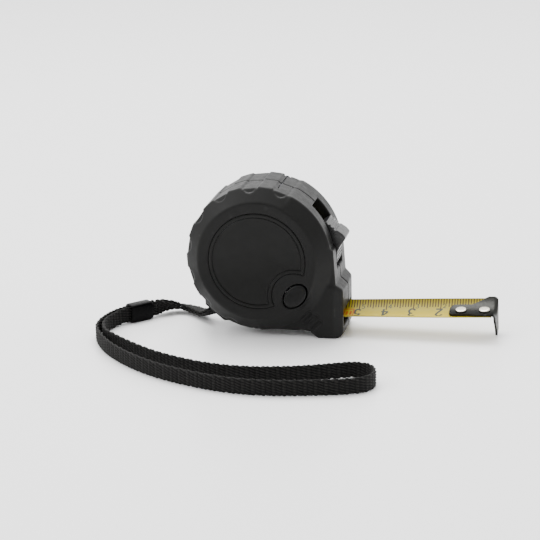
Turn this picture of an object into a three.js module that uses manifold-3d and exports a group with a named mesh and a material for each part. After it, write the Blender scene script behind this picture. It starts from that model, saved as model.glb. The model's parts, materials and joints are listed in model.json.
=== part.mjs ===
// Pocket tape measure: a 16 mm wide, 3 m long steel blade, a thumb lock, a stop button and a wrist strap.
// Millimetres, +Z up, +X along the blade towards its hook, +Y to the right-hand side face.
// The origin is the middle of the flat foot under the mouth, on the surface that the case stands on.
import * as THREE from 'three';
import { mergeVertices } from 'three/addons/utils/BufferGeometryUtils.js';
import Module from 'manifold-3d';

const wasm = await Module();
wasm.setup();

// ---------------------------------------------------------------- driving dimensions
const GAP = 0.3; // between neighbouring pieces
const REEL_X = -25.3; // reel centre, behind the foot's middle
const REEL_Z = 29.2; // reel centre above the floor

const CASE_R = 26.7; // tread radius about the reel centre
const CASE_HALF = 15.5; // half thickness at the side faces
const EDGE_HALF = 11.4; // half thickness where the bevel meets the tread
const LAND_R = 21.75; // where the bevel starts
const NOSE_HALF = 12.25; // half thickness at the nose plates
const LUG_HALF = 7.35; // heel lug that holds the strap
const DISC_R = 17.75; // round inlay in each side face
const DISC_DEPTH = 0.9;
const CHAMBER_R = 23.3; // room for the reel
const CHAMBER_HALF = 10.4;
const FLANGE_ROOM_R = 21.2; // the chamber is wider inside this radius
const FLANGE_ROOM_HALF = 13.3;
const MOUTH_X = 30.5; // front face
const MOUTH_HALF = 8.9; // half width of the blade's way out
const MOUTH_BOTTOM = 4.1;
const MOUTH_TOP = 10.4;

const BLADE_WIDTH = 16; // measured round its curve
const BLADE_SAG = 2.3;
const BLADE_T = 0.2;
const BLADE_Z = 5.8; // belly of the blade at the front face
const BLADE_TILT = 2.7; // degrees, nose up
const BLADE_ROLL = 8; // degrees, left edge lower
const BLADE_OUT = 53.9; // front face to the hook's inner face
const BLADE_IN = 22.6; // straight stretch inside the case
const HOOK_T = 0.8;
const HOOK_PLAY = 0.8; // the hook shifts by its own thickness
const RIVETS = [BLADE_OUT - 12.25, BLADE_OUT - 3.75]; // along the blade from the front face

const COIL_OUTER = 20.8;
const COIL_INNER = 16.6;
const DRUM_R = 16.3;
const DRUM_WALL = 1;
const FLANGE_R = 20.2;
const FLANGE_IN = 8.5;
const FLANGE_OUT = 9.3;
const POST_R = 2;
const POST_HALF = 13.4;
const BOSS_R = 4.5;
const BOSS_END = 10.2;

const SLOT_HALF = 5.45; // lock slot in the tread
const SLOT_FROM = -8; // degrees above the horizontal through the reel centre
const SLOT_TO = 45;
const LOCK_HALF = 5.15;
const LOCK_FOOT = -6; // lower end of the thumb piece, degrees
const LOCK_HEAD = 28.3; // upper end
const ARM_R = 21.3; // inner radius of the lock's spring arm
const ARM_T = 0.9;
const ARM_FOOT = -58; // degrees; the brake pad is at this end of the arm
const ARM_HEAD = 26;
const PAD_HEAD = -51;
const PAD_R = 26; // outer radius of the brake pad

const BUTTON = [13.85, 16.65]; // stop button centre, X and Z
const BUTTON_LONG = 5.15;
const BUTTON_SHORT = 3.6;
const BUTTON_LEAN = 47; // degrees from +X to its long axis
const NOTCH_R = 8.5; // arc about the button that cuts the left disc
const LEAF_END = -7.3; // far end of the button's leaf spring, along the button's long axis
const LEAF_HALF = 0.9;
const LEAF_FACE = -10.9; // outer face of the leaf
const LEAF_T = 0.35;
const BUTTON_PEG_END = LEAF_FACE - GAP; // the peg under the button pushes the leaf

const SCREW_R = 0.85;
const SCREW_FROM = -7; // the point, in the left half
const SCREW_HEAD_R = 1.3;
const SCREW_HEAD = [10.8, 12]; // the head's inner and outer faces
const SCREW_CIRCLE = 24.95;
const SCREW_ANGLES = [75, 140, 205];
const NOSE_SCREW = [27.4, 14.2];

const PIN = [-17.6, 9]; // strap pin in the heel lug, X and Z
const PIN_R = 1;
const PIN_HALF = 5.6;
const WEB_WIDTH = 5.7; // braided strap
const WEB_T = 1.2;
const TAIL_T = 2.6; // both layers of the strap together

// X-Z outlines of the case's blocks, about the reel's X
const NOSE_OUTLINE = [
  [0, 2.7], [18.5, 2.4], [20.9, 0], [28.6, 0], [29.9, 0.7], [MOUTH_X, 2.2],
  [MOUTH_X, 17.9], [27.9, 20.1], [27.3, 33], [20, 38.8], [0, 30.8],
];
const NOSE_PLATE_OUTLINE = [
  [3.4, 8.2], [15, 6.3], [18.6, 3.4], [21.1, 0.6], [28.2, 0.6],
  [28.9, 1.6], [28.9, 17.7], [21.4, 23.5], [12, 22.8],
];
const TEARDROP_OUTLINE = [
  [5, 25.8], [21.75, 30], [20.8, 23.4], [18.65, 16.2],
  [15.75, 12.6], [7.05, 9], [3.4, 8.2], [-2, 12.8],
];
const LUG_OUTLINE = [[-21.95, 12.6], [-21.95, 9.2], [-14.7, 3.05], [-8.2, 3.05], [0, 4.8], [-10, 14.8]];
const STRAP_ROOM_OUTLINE = [[-19.9, 10.7], [-23, 9], [-23, 4.8], [-15.5, 2.3], [-13.6, 7.3], [-15.3, 10.7]];

// ---------------------------------------------------------------- materials
function finish(color, roughness, metalness = 0) {
  return new THREE.MeshStandardMaterial({ color, roughness, metalness });
}
const BLACK_SHELL = finish(0x2b2c2b, 0.6);
const BLACK_DISC = finish(0x242524, 0.5);
const BLACK_BUTTON = finish(0x303130, 0.5);
const WHITE_PLASTIC = finish(0xd8d6cf, 0.6);
const RUBBER = finish(0x1a1a1a, 0.9);
const YELLOW_STEEL = finish(0xe4d24a, 0.45, 0.1);
const DARK_STEEL = finish(0x55565a, 0.4, 0.9);
const BRIGHT_STEEL = finish(0xd9d9d6, 0.25, 1);
const SPRING_STEEL = finish(0x6b6f76, 0.35, 0.9);
const WEBBING = finish(0x3a3936, 0.95);
const FERRULE_FINISH = finish(0x4a4c50, 0.3);

// ---------------------------------------------------------------- solids
const rad = (degrees) => (degrees * Math.PI) / 180;
const polar = (radius, degrees) => [
  radius * Math.cos(rad(degrees)),
  REEL_Z + radius * Math.sin(rad(degrees)),
];

/** A closed geometry as a solid: shared corners merged, slivers dropped, faces out. */
function solid(geometry) {
  const bare = geometry.clone();
  bare.deleteAttribute('normal');
  bare.deleteAttribute('uv');
  const merged = mergeVertices(bare, 1e-5);
  const points = Float32Array.from(merged.attributes.position.array);
  const corner = (i) => new THREE.Vector3().fromArray(points, 3 * i);
  const faces = [];
  let volume = 0;
  for (let i = 0; i < merged.index.count; i += 3) {
    const [a, b, c] = [0, 1, 2].map((k) => merged.index.getX(i + k));
    if (a === b || b === c || c === a) continue;
    faces.push([a, b, c]);
    volume += corner(a).dot(corner(b).cross(corner(c)));
  }
  const outward = faces.map(([a, b, c]) => (volume > 0 ? [a, b, c] : [a, c, b]));
  const triVerts = Uint32Array.from(outward.flat());
  return new wasm.Manifold(new wasm.Mesh({ numProp: 3, vertProperties: points, triVerts }));
}

const join = (...solids) => solids.reduce((whole, piece) => whole.add(piece));
const cut = (whole, ...tools) => tools.reduce((left, tool) => left.subtract(tool), whole);

function outlineShape(points, holes = []) {
  const shape = new THREE.Shape(points.map(([x, z]) => new THREE.Vector2(x, z)));
  for (const hole of holes) {
    shape.holes.push(new THREE.Path(hole.map(([x, z]) => new THREE.Vector2(x, z))));
  }
  return shape;
}

/** An X-Z outline, drawn out along Y between two depths. A bevel widens it towards its middle. */
function prism(points, yLow, yHigh, bevel = null) {
  const options = { depth: yHigh - yLow, bevelEnabled: false };
  if (bevel) {
    options.depth = yHigh - yLow - 2 * bevel.depth;
    Object.assign(options, { bevelEnabled: true, bevelSegments: 1, bevelThickness: bevel.depth });
    options.bevelSize = bevel.size;
  }
  const geometry = new THREE.ExtrudeGeometry(outlineShape(points), options);
  geometry.rotateX(Math.PI / 2);
  geometry.translate(0, yHigh - (bevel ? bevel.depth : 0), 0);
  return solid(geometry);
}

/** A closed profile of [radius, y] turned about a Y axis through (x, z). */
function turned(profile, [x, z] = [0, REEL_Z], segments = 48) {
  const closed = profile.map(([r, y]) => new THREE.Vector2(r, y));
  if (profile[0][0] > 0 || profile[profile.length - 1][0] > 0) closed.push(closed[0].clone());
  const geometry = new THREE.LatheGeometry(closed, segments);
  geometry.translate(x, 0, z);
  return solid(geometry);
}

const cylinder = (radius, yLow, yHigh, centre, segments = 32) =>
  turned([[0, yLow], [radius, yLow], [radius, yHigh], [0, yHigh]], centre, segments);
const ring = (inner, outer, yLow, yHigh, centre, segments = 48) =>
  turned([[inner, yLow], [outer, yLow], [outer, yHigh], [inner, yHigh]], centre, segments);

function box(xLow, xHigh, yLow, yHigh, zLow, zHigh) {
  const geometry = new THREE.BoxGeometry(xHigh - xLow, yHigh - yLow, zHigh - zLow);
  geometry.translate((xLow + xHigh) / 2, (yLow + yHigh) / 2, (zLow + zHigh) / 2);
  return solid(geometry);
}

/** A point in the button's own axes, along and across its long one. */
function fromButton(along, across) {
  const [ux, uz] = [Math.cos(rad(BUTTON_LEAN)), Math.sin(rad(BUTTON_LEAN))];
  return [BUTTON[0] + along * ux - across * uz, BUTTON[1] + along * uz + across * ux];
}

/** Points along an arc about the reel centre, every few degrees. */
function arcPoints(radius, from, to, steps = Math.max(1, Math.ceil(Math.abs(to - from) / 5))) {
  return Array.from({ length: steps + 1 }, (_, i) => polar(radius, from + ((to - from) * i) / steps));
}

const sector = (inner, outer, from, to, half) =>
  prism([...arcPoints(outer, from, to), ...arcPoints(inner, to, from)], -half, half);

/** The stop button's oval, grown by a margin. */
function buttonOval(margin = 0, count = 32) {
  return Array.from({ length: count }, (_, i) => {
    const turn = (2 * Math.PI * i) / count;
    return fromButton((BUTTON_LONG + margin) * Math.cos(turn), (BUTTON_SHORT + margin) * Math.sin(turn));
  });
}

/** Turns a flat section into one that lies across X: its x goes to Y, its y to Z, its depth to X. */
const acrossToX = new THREE.Matrix4().makeBasis(
  new THREE.Vector3(0, 1, 0),
  new THREE.Vector3(0, 0, 1),
  new THREE.Vector3(1, 0, 0),
);

// ---------------------------------------------------------------- scene graph
const tape = new THREE.Group();
const body = new THREE.Group(); // drawn about the reel's own X
body.position.x = REEL_X;
tape.add(body);
const bladeLine = new THREE.Group(); // +X along the blade from the front face, +Z up from its belly
bladeLine.position.set(MOUTH_X, 0, BLADE_Z);
bladeLine.rotation.set(rad(BLADE_ROLL), rad(-BLADE_TILT), 0, 'YXZ');
body.add(bladeLine);

function piece(name, shape, material, parent = body) {
  const { numProp, vertProperties, triVerts } = shape.getMesh();
  const position = [];
  for (let i = 0; i < vertProperties.length; i += numProp) {
    position.push(...vertProperties.slice(i, i + 3));
  }
  const geometry = new THREE.BufferGeometry();
  geometry.setAttribute('position', new THREE.Float32BufferAttribute(position, 3));
  geometry.setIndex(Array.from(triVerts));
  geometry.computeVertexNormals();
  const mesh = new THREE.Mesh(geometry, material);
  mesh.name = name;
  parent.add(mesh);
}

// ---------------------------------------------------------------- case
function wholeCase() {
  const drumProfile = [
    [0, -CASE_HALF], [LAND_R, -CASE_HALF], [CASE_R, -EDGE_HALF],
    [CASE_R, EDGE_HALF], [LAND_R, CASE_HALF], [0, CASE_HALF],
  ];
  const drum = turned(drumProfile, [0, REEL_Z], 72);
  const nose = prism(NOSE_OUTLINE, -EDGE_HALF, EDGE_HALF);
  const nosePlates = prism(NOSE_PLATE_OUTLINE, -NOSE_HALF, NOSE_HALF);
  const tearDrop = prism(TEARDROP_OUTLINE, -CASE_HALF, CASE_HALF, { depth: 3.2, size: 1.8 });
  const lug = prism(LUG_OUTLINE, -LUG_HALF, LUG_HALF);
  return join(drum, nose, nosePlates, tearDrop, lug);
}

function caseRooms() {
  const chamber = turned([
    [0, -FLANGE_ROOM_HALF], [FLANGE_ROOM_R, -FLANGE_ROOM_HALF],
    [FLANGE_ROOM_R, -CHAMBER_HALF], [CHAMBER_R, -CHAMBER_HALF],
    [CHAMBER_R, CHAMBER_HALF], [FLANGE_ROOM_R, CHAMBER_HALF],
    [FLANGE_ROOM_R, FLANGE_ROOM_HALF], [0, FLANGE_ROOM_HALF],
  ]);
  const bladeWay = box(5, MOUTH_X + 1, -MOUTH_HALF, MOUTH_HALF, MOUTH_BOTTOM, MOUTH_TOP);
  const lockSlot = sector(CHAMBER_R - 1, CASE_R + 6, SLOT_FROM, SLOT_TO, SLOT_HALF);
  const padRoom = sector(CHAMBER_R - 1, PAD_R + 0.6, -61, -32, SLOT_HALF - 0.4);
  const strapRoomHalf = WEB_WIDTH / 2 + 0.8;
  const strapRoom = prism(STRAP_ROOM_OUTLINE, -strapRoomHalf, strapRoomHalf);
  return join(chamber, bladeWay, lockSlot, padRoom, strapRoom);
}

/** Two tubes that hold the reel's post, one on each side wall. */
function postBosses() {
  const depth = 0.2; // sunk into the wall
  return join(
    ring(POST_R + GAP, BOSS_R, BOSS_END, FLANGE_ROOM_HALF + depth),
    ring(POST_R + GAP, BOSS_R, -FLANGE_ROOM_HALF - depth, -BOSS_END),
  );
}

const screwCentres = [...SCREW_ANGLES.map((angle) => polar(SCREW_CIRCLE, angle)), NOSE_SCREW];
const buttonNotch = cylinder(NOTCH_R, -CASE_HALF - 1, -CASE_HALF + DISC_DEPTH + 0.5, BUTTON, 40);

function caseHalves() {
  const rooms = caseRooms();
  const shell = join(cut(wholeCase(), rooms), postBosses());
  const postEnds = cylinder(POST_R + GAP, -POST_HALF - GAP, POST_HALF + GAP);
  const pinHole = cylinder(PIN_R + 0.25, -PIN_HALF - GAP, PIN_HALF + GAP, PIN);
  const headSeat = SCREW_HEAD[0] - 0.2;
  const screwHoles = screwCentres.map((centre) =>
    join(
      cylinder(SCREW_R + 0.2, SCREW_FROM - GAP, headSeat + 0.2, centre, 20),
      cylinder(SCREW_HEAD_R + 0.25, headSeat, CASE_HALF + 1, centre, 24),
    ),
  );
  const bored = cut(shell, postEnds, pinHole, ...screwHoles);
  const beyond = 80; // past every edge of the case
  const leftHalf = bored.intersect(box(-beyond, beyond, -beyond, 0, -beyond, beyond));
  const rightHalf = bored.intersect(box(-beyond, beyond, 0, beyond, -beyond, beyond));
  const centre = [0, REEL_Z];
  const leftPocket = cut(cylinder(DISC_R, -CASE_HALF - 1, -CASE_HALF + DISC_DEPTH, centre, 60), buttonNotch);
  const rightPocket = cylinder(DISC_R, CASE_HALF - DISC_DEPTH, CASE_HALF + 1, centre, 60);
  const buttonWell = prism(buttonOval(GAP), -CASE_HALF - 1, BUTTON_PEG_END);
  const leafBossCentre = fromButton(LEAF_END + 0.95, 0);
  const leafBoss = cylinder(0.8, -FLANGE_ROOM_HALF - 0.2, LEAF_FACE - GAP, leafBossCentre, 20);
  const left = join(cut(leftHalf, leftPocket, buttonWell), leafBoss);
  return { left, right: cut(rightHalf, rightPocket) };
}

const halves = caseHalves();
piece('case_left', halves.left, BLACK_SHELL);
piece('case_right', halves.right, BLACK_SHELL);
const discFloor = CASE_HALF - DISC_DEPTH + 0.1;
piece(
  'left_disc',
  cut(
    cylinder(DISC_R - GAP, -CASE_HALF, -discFloor, [0, REEL_Z], 60),
    cylinder(NOTCH_R + GAP, -CASE_HALF - 1, -discFloor + 1, BUTTON, 40),
  ),
  BLACK_DISC,
);
piece('right_disc', cylinder(DISC_R - GAP, discFloor, CASE_HALF, [0, REEL_Z], 60), BLACK_DISC);

// ---------------------------------------------------------------- screws and post
screwCentres.forEach((centre, i) => {
  const shank = cylinder(SCREW_R, SCREW_FROM, SCREW_HEAD[0] + 0.1, centre, 12);
  const screw = join(shank, cylinder(SCREW_HEAD_R, ...SCREW_HEAD, centre, 16));
  piece(`case_screw_${i + 1}`, screw, DARK_STEEL);
});
piece('reel_post', cylinder(POST_R, -POST_HALF, POST_HALF, [0, REEL_Z], 24), BRIGHT_STEEL);
const WASHER_R = 4.2;
const washer = (yLow, yHigh) => ring(POST_R + GAP, WASHER_R, yLow, yHigh, [0, REEL_Z], 32);
const washerFaces = [FLANGE_OUT + 0.2, BOSS_END - 0.2];
piece('washer_left', washer(-washerFaces[1], -washerFaces[0]), BRIGHT_STEEL);
piece('washer_right', washer(...washerFaces), BRIGHT_STEEL);

// ---------------------------------------------------------------- reel
const drumEnd = GAP - FLANGE_IN;
piece(
  'reel_drum',
  turned([
    [POST_R + 0.1, FLANGE_IN], [DRUM_R - DRUM_WALL, FLANGE_IN],
    [DRUM_R - DRUM_WALL, drumEnd], [DRUM_R, drumEnd],
    [DRUM_R, FLANGE_IN], [FLANGE_R, FLANGE_IN],
    [FLANGE_R, FLANGE_OUT], [POST_R + 0.1, FLANGE_OUT],
  ]),
  WHITE_PLASTIC,
);
piece('reel_cover', ring(POST_R + 0.1, FLANGE_R, -FLANGE_OUT, -FLANGE_IN), WHITE_PLASTIC);
piece('blade_coil', ring(COIL_INNER, COIL_OUTER, -BLADE_WIDTH / 2, BLADE_WIDTH / 2), YELLOW_STEEL);

/** The return spring: a flat strip wound in a spiral from the post to the drum. */
function returnSpring() {
  const turns = 5;
  const steps = turns * 20;
  const [inner, outer, strip] = [3.2, DRUM_R - DRUM_WALL - 0.8, 0.5];
  const half = 7;
  const along = (offset) =>
    Array.from({ length: steps + 1 }, (_, i) => {
      const part = i / steps;
      return polar(inner + (outer - inner) * part + offset, 360 * turns * part);
    });
  return prism([...along(strip / 2), ...along(-strip / 2).reverse()], -half, half);
}
piece('return_spring', returnSpring(), SPRING_STEEL);

// ---------------------------------------------------------------- blade, rivets and hook
const bladeAngle = (() => {
  // half angle of an arc of BLADE_WIDTH whose rise is BLADE_SAG, by halving the interval
  let [low, high] = [0.01, 1.5];
  for (let i = 0; i < 40; i += 1) {
    const middle = (low + high) / 2;
    if ((BLADE_WIDTH / 2 / middle) * (1 - Math.cos(middle)) < BLADE_SAG) low = middle;
    else high = middle;
  }
  return low;
})();
const BLADE_R = BLADE_WIDTH / 2 / bladeAngle;

/** A strip curved across its width like the blade, between two radii about the line above its belly. */
function curvedStrip(inner, outer, halfAngle, uLow, uHigh) {
  const steps = 12;
  const arc = (radius, sign) =>
    Array.from({ length: steps + 1 }, (_, i) => {
      const turn = sign * halfAngle * ((2 * i) / steps - 1);
      return [radius * Math.sin(turn), BLADE_R - radius * Math.cos(turn)];
    });
  const geometry = new THREE.ExtrudeGeometry(outlineShape([...arc(outer, 1), ...arc(inner, -1)]), {
    depth: uHigh - uLow,
    bevelEnabled: false,
  });
  geometry.applyMatrix4(acrossToX);
  geometry.translate(uLow, 0, 0);
  return solid(geometry);
}

/** A flat outline of [u, y] along and across the blade, drawn out upwards. */
function upright(points, wLow, wHigh) {
  const options = { depth: wHigh - wLow, bevelEnabled: false };
  const geometry = new THREE.ExtrudeGeometry(outlineShape(points), options);
  geometry.translate(0, 0, wLow);
  return solid(geometry);
}

/** A profile of [radius, height] turned about an upright axis at u along the blade. */
function uprightTurned(profile, u, segments = 20) {
  const geometry = new THREE.LatheGeometry(profile.map(([r, w]) => new THREE.Vector2(r, w)), segments);
  geometry.rotateX(Math.PI / 2);
  geometry.translate(u, 0, 0);
  return solid(geometry);
}

const slotOutline = (u, half, extra) => [
  [u - half, -half], [u + half + extra, -half], [u + half + extra, half], [u - half, half],
];

const RIVET_HOLE_R = 1.15;
const bladeEnd = BLADE_OUT - HOOK_PLAY - 0.15; // the hook can come in by its play
const bladeStrip = curvedStrip(BLADE_R - BLADE_T, BLADE_R, bladeAngle, -BLADE_IN, bladeEnd);
const holeProfile = [[0, -2], [RIVET_HOLE_R, -2], [RIVET_HOLE_R, 2], [0, 2]];
const rivetHoles = RIVETS.map((u) => uprightTurned(holeProfile, u));
piece('blade', cut(bladeStrip, ...rivetHoles), YELLOW_STEEL, bladeLine);

const RIVET_PROFILE = [
  [0, -0.65], [1.3, -0.65], [1.5, -0.25], [0.9, -0.25], [0.9, 1.42],
  [1.95, 1.42], [1.9, 1.8], [1.3, 1.98], [0, 2],
];
piece('hook_rivet_inner', uprightTurned(RIVET_PROFILE, RIVETS[0]), BRIGHT_STEEL, bladeLine);
piece('hook_rivet_outer', uprightTurned(RIVET_PROFILE, RIVETS[1]), BRIGHT_STEEL, bladeLine);

function hook() {
  const plateOuter = BLADE_R - BLADE_T - 0.2;
  const plateInner = plateOuter - HOOK_T;
  const end = BLADE_OUT + HOOK_T;
  const nearSide = [
    [end - 17.35, -2.6], [end - 16.85, -3.5], [end - 15.75, -3.9],
    [end - 8.55, -3.9], [end - 5.15, -6.4], [end - 3.35, -7.3], [end, -7.3],
  ];
  const tongue = [...nearSide, ...nearSide.map(([u, y]) => [u, -y]).reverse()];
  const strip = curvedStrip(plateInner, plateOuter, bladeAngle * 1.02, end - 18.35, end);
  const slots = RIVETS.map((u) => upright(slotOutline(u, RIVET_HOLE_R, HOOK_PLAY), -1, 4));
  const plate = cut(strip.intersect(upright(tongue, -1, 6)), ...slots);
  const legOutline = [
    [-7.2, 2.6], [-7.2, 1], [-6, -1.2], [-4.3, -3.4], [-3.5, -6.6], [-2.9, -7.6],
    [2.9, -7.6], [3.5, -6.6], [4.3, -3.4], [6, -1.2], [7.2, 1], [7.2, 2.6],
  ];
  const legOptions = { depth: HOOK_T, bevelEnabled: false };
  const legGeometry = new THREE.ExtrudeGeometry(outlineShape(legOutline), legOptions);
  legGeometry.applyMatrix4(acrossToX);
  legGeometry.translate(BLADE_OUT, 0, 0);
  const aboveBlade = curvedStrip(0.5, plateInner, bladeAngle * 1.3, BLADE_OUT - 5, end + 5);
  return join(plate, cut(solid(legGeometry), aboveBlade));
}
piece('hook', hook(), DARK_STEEL, bladeLine);

// ---------------------------------------------------------------- thumb lock
const THUMB_PROFILE = [
  // radius about the reel centre and degrees, down the outside of the thumb piece
  [27.2, LOCK_HEAD], [28.15, 24.3], [29, 20.2], [30.75, 16.1], [31.55, 13.2], [31.25, 11.8],
  [28.95, 7.3], [27.7, 3], [27.7, LOCK_FOOT],
];
const lockInner = ARM_R + ARM_T + 0.4;
const lockOutline = [
  ...THUMB_PROFILE.map(([radius, angle]) => polar(radius, angle)),
  ...arcPoints(lockInner, LOCK_FOOT, LOCK_HEAD),
];
piece('lock_slider', prism(lockOutline, -LOCK_HALF, LOCK_HALF), BLACK_BUTTON);
piece('lock_arm', sector(ARM_R, ARM_R + ARM_T, ARM_FOOT, ARM_HEAD, 4), SPRING_STEEL);
piece('brake_pad', sector(ARM_R + ARM_T + GAP, PAD_R, ARM_FOOT, PAD_HEAD, 3.8), RUBBER);

// ---------------------------------------------------------------- stop button
const buttonFace = -CASE_HALF - 0.4;
const buttonBack = -12.9;
const buttonCap = prism(buttonOval(), buttonFace, buttonBack);
const buttonPeg = cylinder(1.2, buttonBack - 0.1, BUTTON_PEG_END, BUTTON, 16);
piece('stop_button', join(buttonCap, buttonPeg), BLACK_BUTTON);
const leafTip = 2.5;
const leafOutline = [
  [LEAF_END, -LEAF_HALF], [leafTip, -LEAF_HALF], [leafTip, LEAF_HALF], [LEAF_END, LEAF_HALF],
].map((at) => fromButton(...at));
piece('stop_leaf', prism(leafOutline, LEAF_FACE, LEAF_FACE + LEAF_T), SPRING_STEEL);

// ---------------------------------------------------------------- wrist strap
piece('strap_pin', cylinder(PIN_R, -PIN_HALF, PIN_HALF, PIN, 20), BRIGHT_STEEL);

/** A flat band bent along a route of [x, y, z, lean]: lean 0 stands on edge, 90 lies flat. */
function band(route, width, thickness, steps) {
  const [a, b, chamfer] = [width / 2, thickness / 2, 0.3];
  const section = [
    [-a, -b + chamfer], [-a + chamfer, -b], [a - chamfer, -b], [a, -b + chamfer],
    [a, b - chamfer], [a - chamfer, b], [-a + chamfer, b], [-a, b - chamfer],
  ];
  const geometry = new THREE.ExtrudeGeometry(outlineShape(section), { depth: 1, steps, bevelEnabled: false });
  const middles = route.map(([x, y, z]) => new THREE.Vector3(x, y, z));
  const curve = new THREE.CatmullRomCurve3(middles, false, 'centripetal');
  const position = geometry.attributes.position;
  for (let i = 0; i < position.count; i += 1) {
    const t = Math.min(1, Math.max(0, position.getZ(i)));
    const tangent = curve.getTangent(t);
    const side = new THREE.Vector3(0, 0, 1).cross(tangent).normalize();
    const rise = tangent.clone().cross(side);
    const at = t * (route.length - 1);
    const from = Math.min(route.length - 2, Math.floor(at));
    const lean = rad(THREE.MathUtils.lerp(route[from][3], route[from + 1][3], at - from));
    const across = rise.clone().multiplyScalar(Math.cos(lean)).addScaledVector(side, Math.sin(lean));
    const through = tangent.clone().cross(across);
    const point = curve.getPoint(t);
    point.addScaledVector(across, position.getX(i)).addScaledVector(through, position.getY(i));
    position.setXYZ(i, point.x, point.y, point.z);
  }
  return solid(geometry);
}

const TAIL_ROUTE = [
  [-18.8, 0, 7.6, 90], [-20.7, 0.8, 5, 90], [-23.5, 3.6, 2.8, 88], [-27.2, 7.6, 2, 82],
  [-31.6, 10.7, 2, 76], [-36.2, 11.3, 2.5, 66], [-40.2, 8.7, 3.2, 42], [-43.4, 5.2, 3.5, 0],
];
const STAND = 2.9; // height of the strap's middle where it stands on edge
const LOOP_ROUTE = [
  [-44.25, 5.5, 3.5, 0], [-49.1, 0.37, 3.5, 0], [-54, -4.83, 3.4, 0], [-56.8, -9.4, 3.1, 0],
  [-58.4, -16, STAND, 0], [-58.1, -23.7, STAND, 0], [-55, -31.4, STAND, 0], [-49.9, -39.7, STAND, 0],
  [-43.4, -47.4, STAND, 0], [-35.2, -55, STAND, 0], [-25.4, -61.9, STAND, 0], [-14.5, -67.3, STAND, 0],
  [-3.1, -71.4, STAND, 0], [8.3, -73.3, STAND, 0], [19.7, -72.9, STAND, 0], [31, -70.8, STAND, 0],
  [40.7, -68.4, STAND, 0], [47, -65, STAND, 0], [49.2, -58.8, STAND, 0], [46.6, -52.6, STAND, 0],
  [41.2, -51.2, STAND, 0], [34.2, -53.6, STAND, 0], [25.4, -57, STAND, 0], [14.2, -59.8, STAND, 0],
  [2.4, -60.6, STAND, 0], [-9, -58.8, STAND, 0], [-20.2, -54.5, STAND, 0], [-30.3, -48.9, STAND, 0],
  [-39.2, -42.1, STAND, 0], [-46.9, -35.2, STAND, 0], [-53.5, -28.2, STAND, 0], [-56.3, -21.4, STAND, 0],
  [-56.6, -15.3, STAND, 0], [-55, -9.9, 3.1, 0], [-52.8, -5.9, 3.4, 0], [-47.9, -0.73, 3.5, 0],
  [-43.05, 4.4, 3.5, 0],
];
piece('strap_tail', band(TAIL_ROUTE, WEB_WIDTH, TAIL_T, 18), WEBBING);
piece('strap_loop', band(LOOP_ROUTE, WEB_WIDTH, WEB_T, 72), WEBBING);

/** The ferrule: a short flat tube that grips both layers of the strap. */
function ferrule() {
  const [length, halfWidth, halfHeight, wallSide, wallTop] = [9.3, 2.45, 3.45, 0.55, 0.4];
  const [middleX, middleY, middleZ] = [-48.45, -0.1, 3.5];
  const heading = Math.atan2(0.726, 0.688);
  const round = (a, b, r) => [
    [a, b - r], [a - r * 0.3, b - r * 0.3], [a - r, b], [r - a, b], [r * 0.3 - a, b - r * 0.3], [-a, b - r],
    [-a, r - b], [r * 0.3 - a, r * 0.3 - b], [r - a, -b], [a - r, -b], [a - r * 0.3, r * 0.3 - b], [a, r - b],
  ];
  const shape = outlineShape(round(halfWidth, halfHeight, 1), [
    round(halfWidth - wallSide, halfHeight - wallTop, 0.4).reverse(),
  ]);
  const geometry = new THREE.ExtrudeGeometry(shape, { depth: length, bevelEnabled: false });
  geometry.translate(0, 0, -length / 2);
  geometry.applyMatrix4(acrossToX);
  geometry.rotateZ(heading);
  geometry.translate(middleX, middleY, middleZ);
  return solid(geometry);
}
piece('ferrule', ferrule(), FERRULE_FINISH);

export default tape;
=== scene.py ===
"""Looks of a pocket tape measure: moulded case, printed blade, hook, thumb lock, stop button, wrist strap.

Shapes are drawn in millimetres about the reel's X, with Y and Z as in the row frame, and to_row() turns
them into metres in the row frame.
"""

import json
import math

import bpy
import numpy as np
from mathutils import Matrix, Vector


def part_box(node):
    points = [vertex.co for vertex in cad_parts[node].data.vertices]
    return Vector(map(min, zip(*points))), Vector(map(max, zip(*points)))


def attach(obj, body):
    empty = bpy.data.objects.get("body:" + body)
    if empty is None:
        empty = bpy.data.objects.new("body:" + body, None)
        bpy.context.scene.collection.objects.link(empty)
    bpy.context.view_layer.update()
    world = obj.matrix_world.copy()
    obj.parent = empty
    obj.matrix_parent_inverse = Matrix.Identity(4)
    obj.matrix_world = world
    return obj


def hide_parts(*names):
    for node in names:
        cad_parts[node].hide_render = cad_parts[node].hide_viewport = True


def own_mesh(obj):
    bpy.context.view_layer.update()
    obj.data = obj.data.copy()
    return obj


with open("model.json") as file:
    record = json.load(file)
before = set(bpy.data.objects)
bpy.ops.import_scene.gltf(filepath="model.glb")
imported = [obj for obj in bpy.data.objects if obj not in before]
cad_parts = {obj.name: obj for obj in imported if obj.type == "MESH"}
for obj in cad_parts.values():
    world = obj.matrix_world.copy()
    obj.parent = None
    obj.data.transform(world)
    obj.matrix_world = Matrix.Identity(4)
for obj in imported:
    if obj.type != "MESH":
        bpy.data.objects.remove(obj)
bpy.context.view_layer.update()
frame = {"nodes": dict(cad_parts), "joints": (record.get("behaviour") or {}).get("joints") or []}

# ---------------------------------------------------------------- places and sizes
MM = 0.001


def cad_box(node):
    """Lowest and highest corner of a CAD node, in millimetres."""
    low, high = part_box(node)
    return np.array(low) / MM, np.array(high) / MM


post_low, post_high = cad_box("reel_post")
case_low, case_high = cad_box("case_left")
pin_low, pin_high = cad_box("strap_pin")
REEL_X = (post_low[0] + post_high[0]) / 2
REEL_Z = (post_low[2] + post_high[2]) / 2
CASE_HALF = -case_low[1]
TREAD_R = REEL_X - case_low[0]
MOUTH_X = case_high[0] - REEL_X

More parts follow.
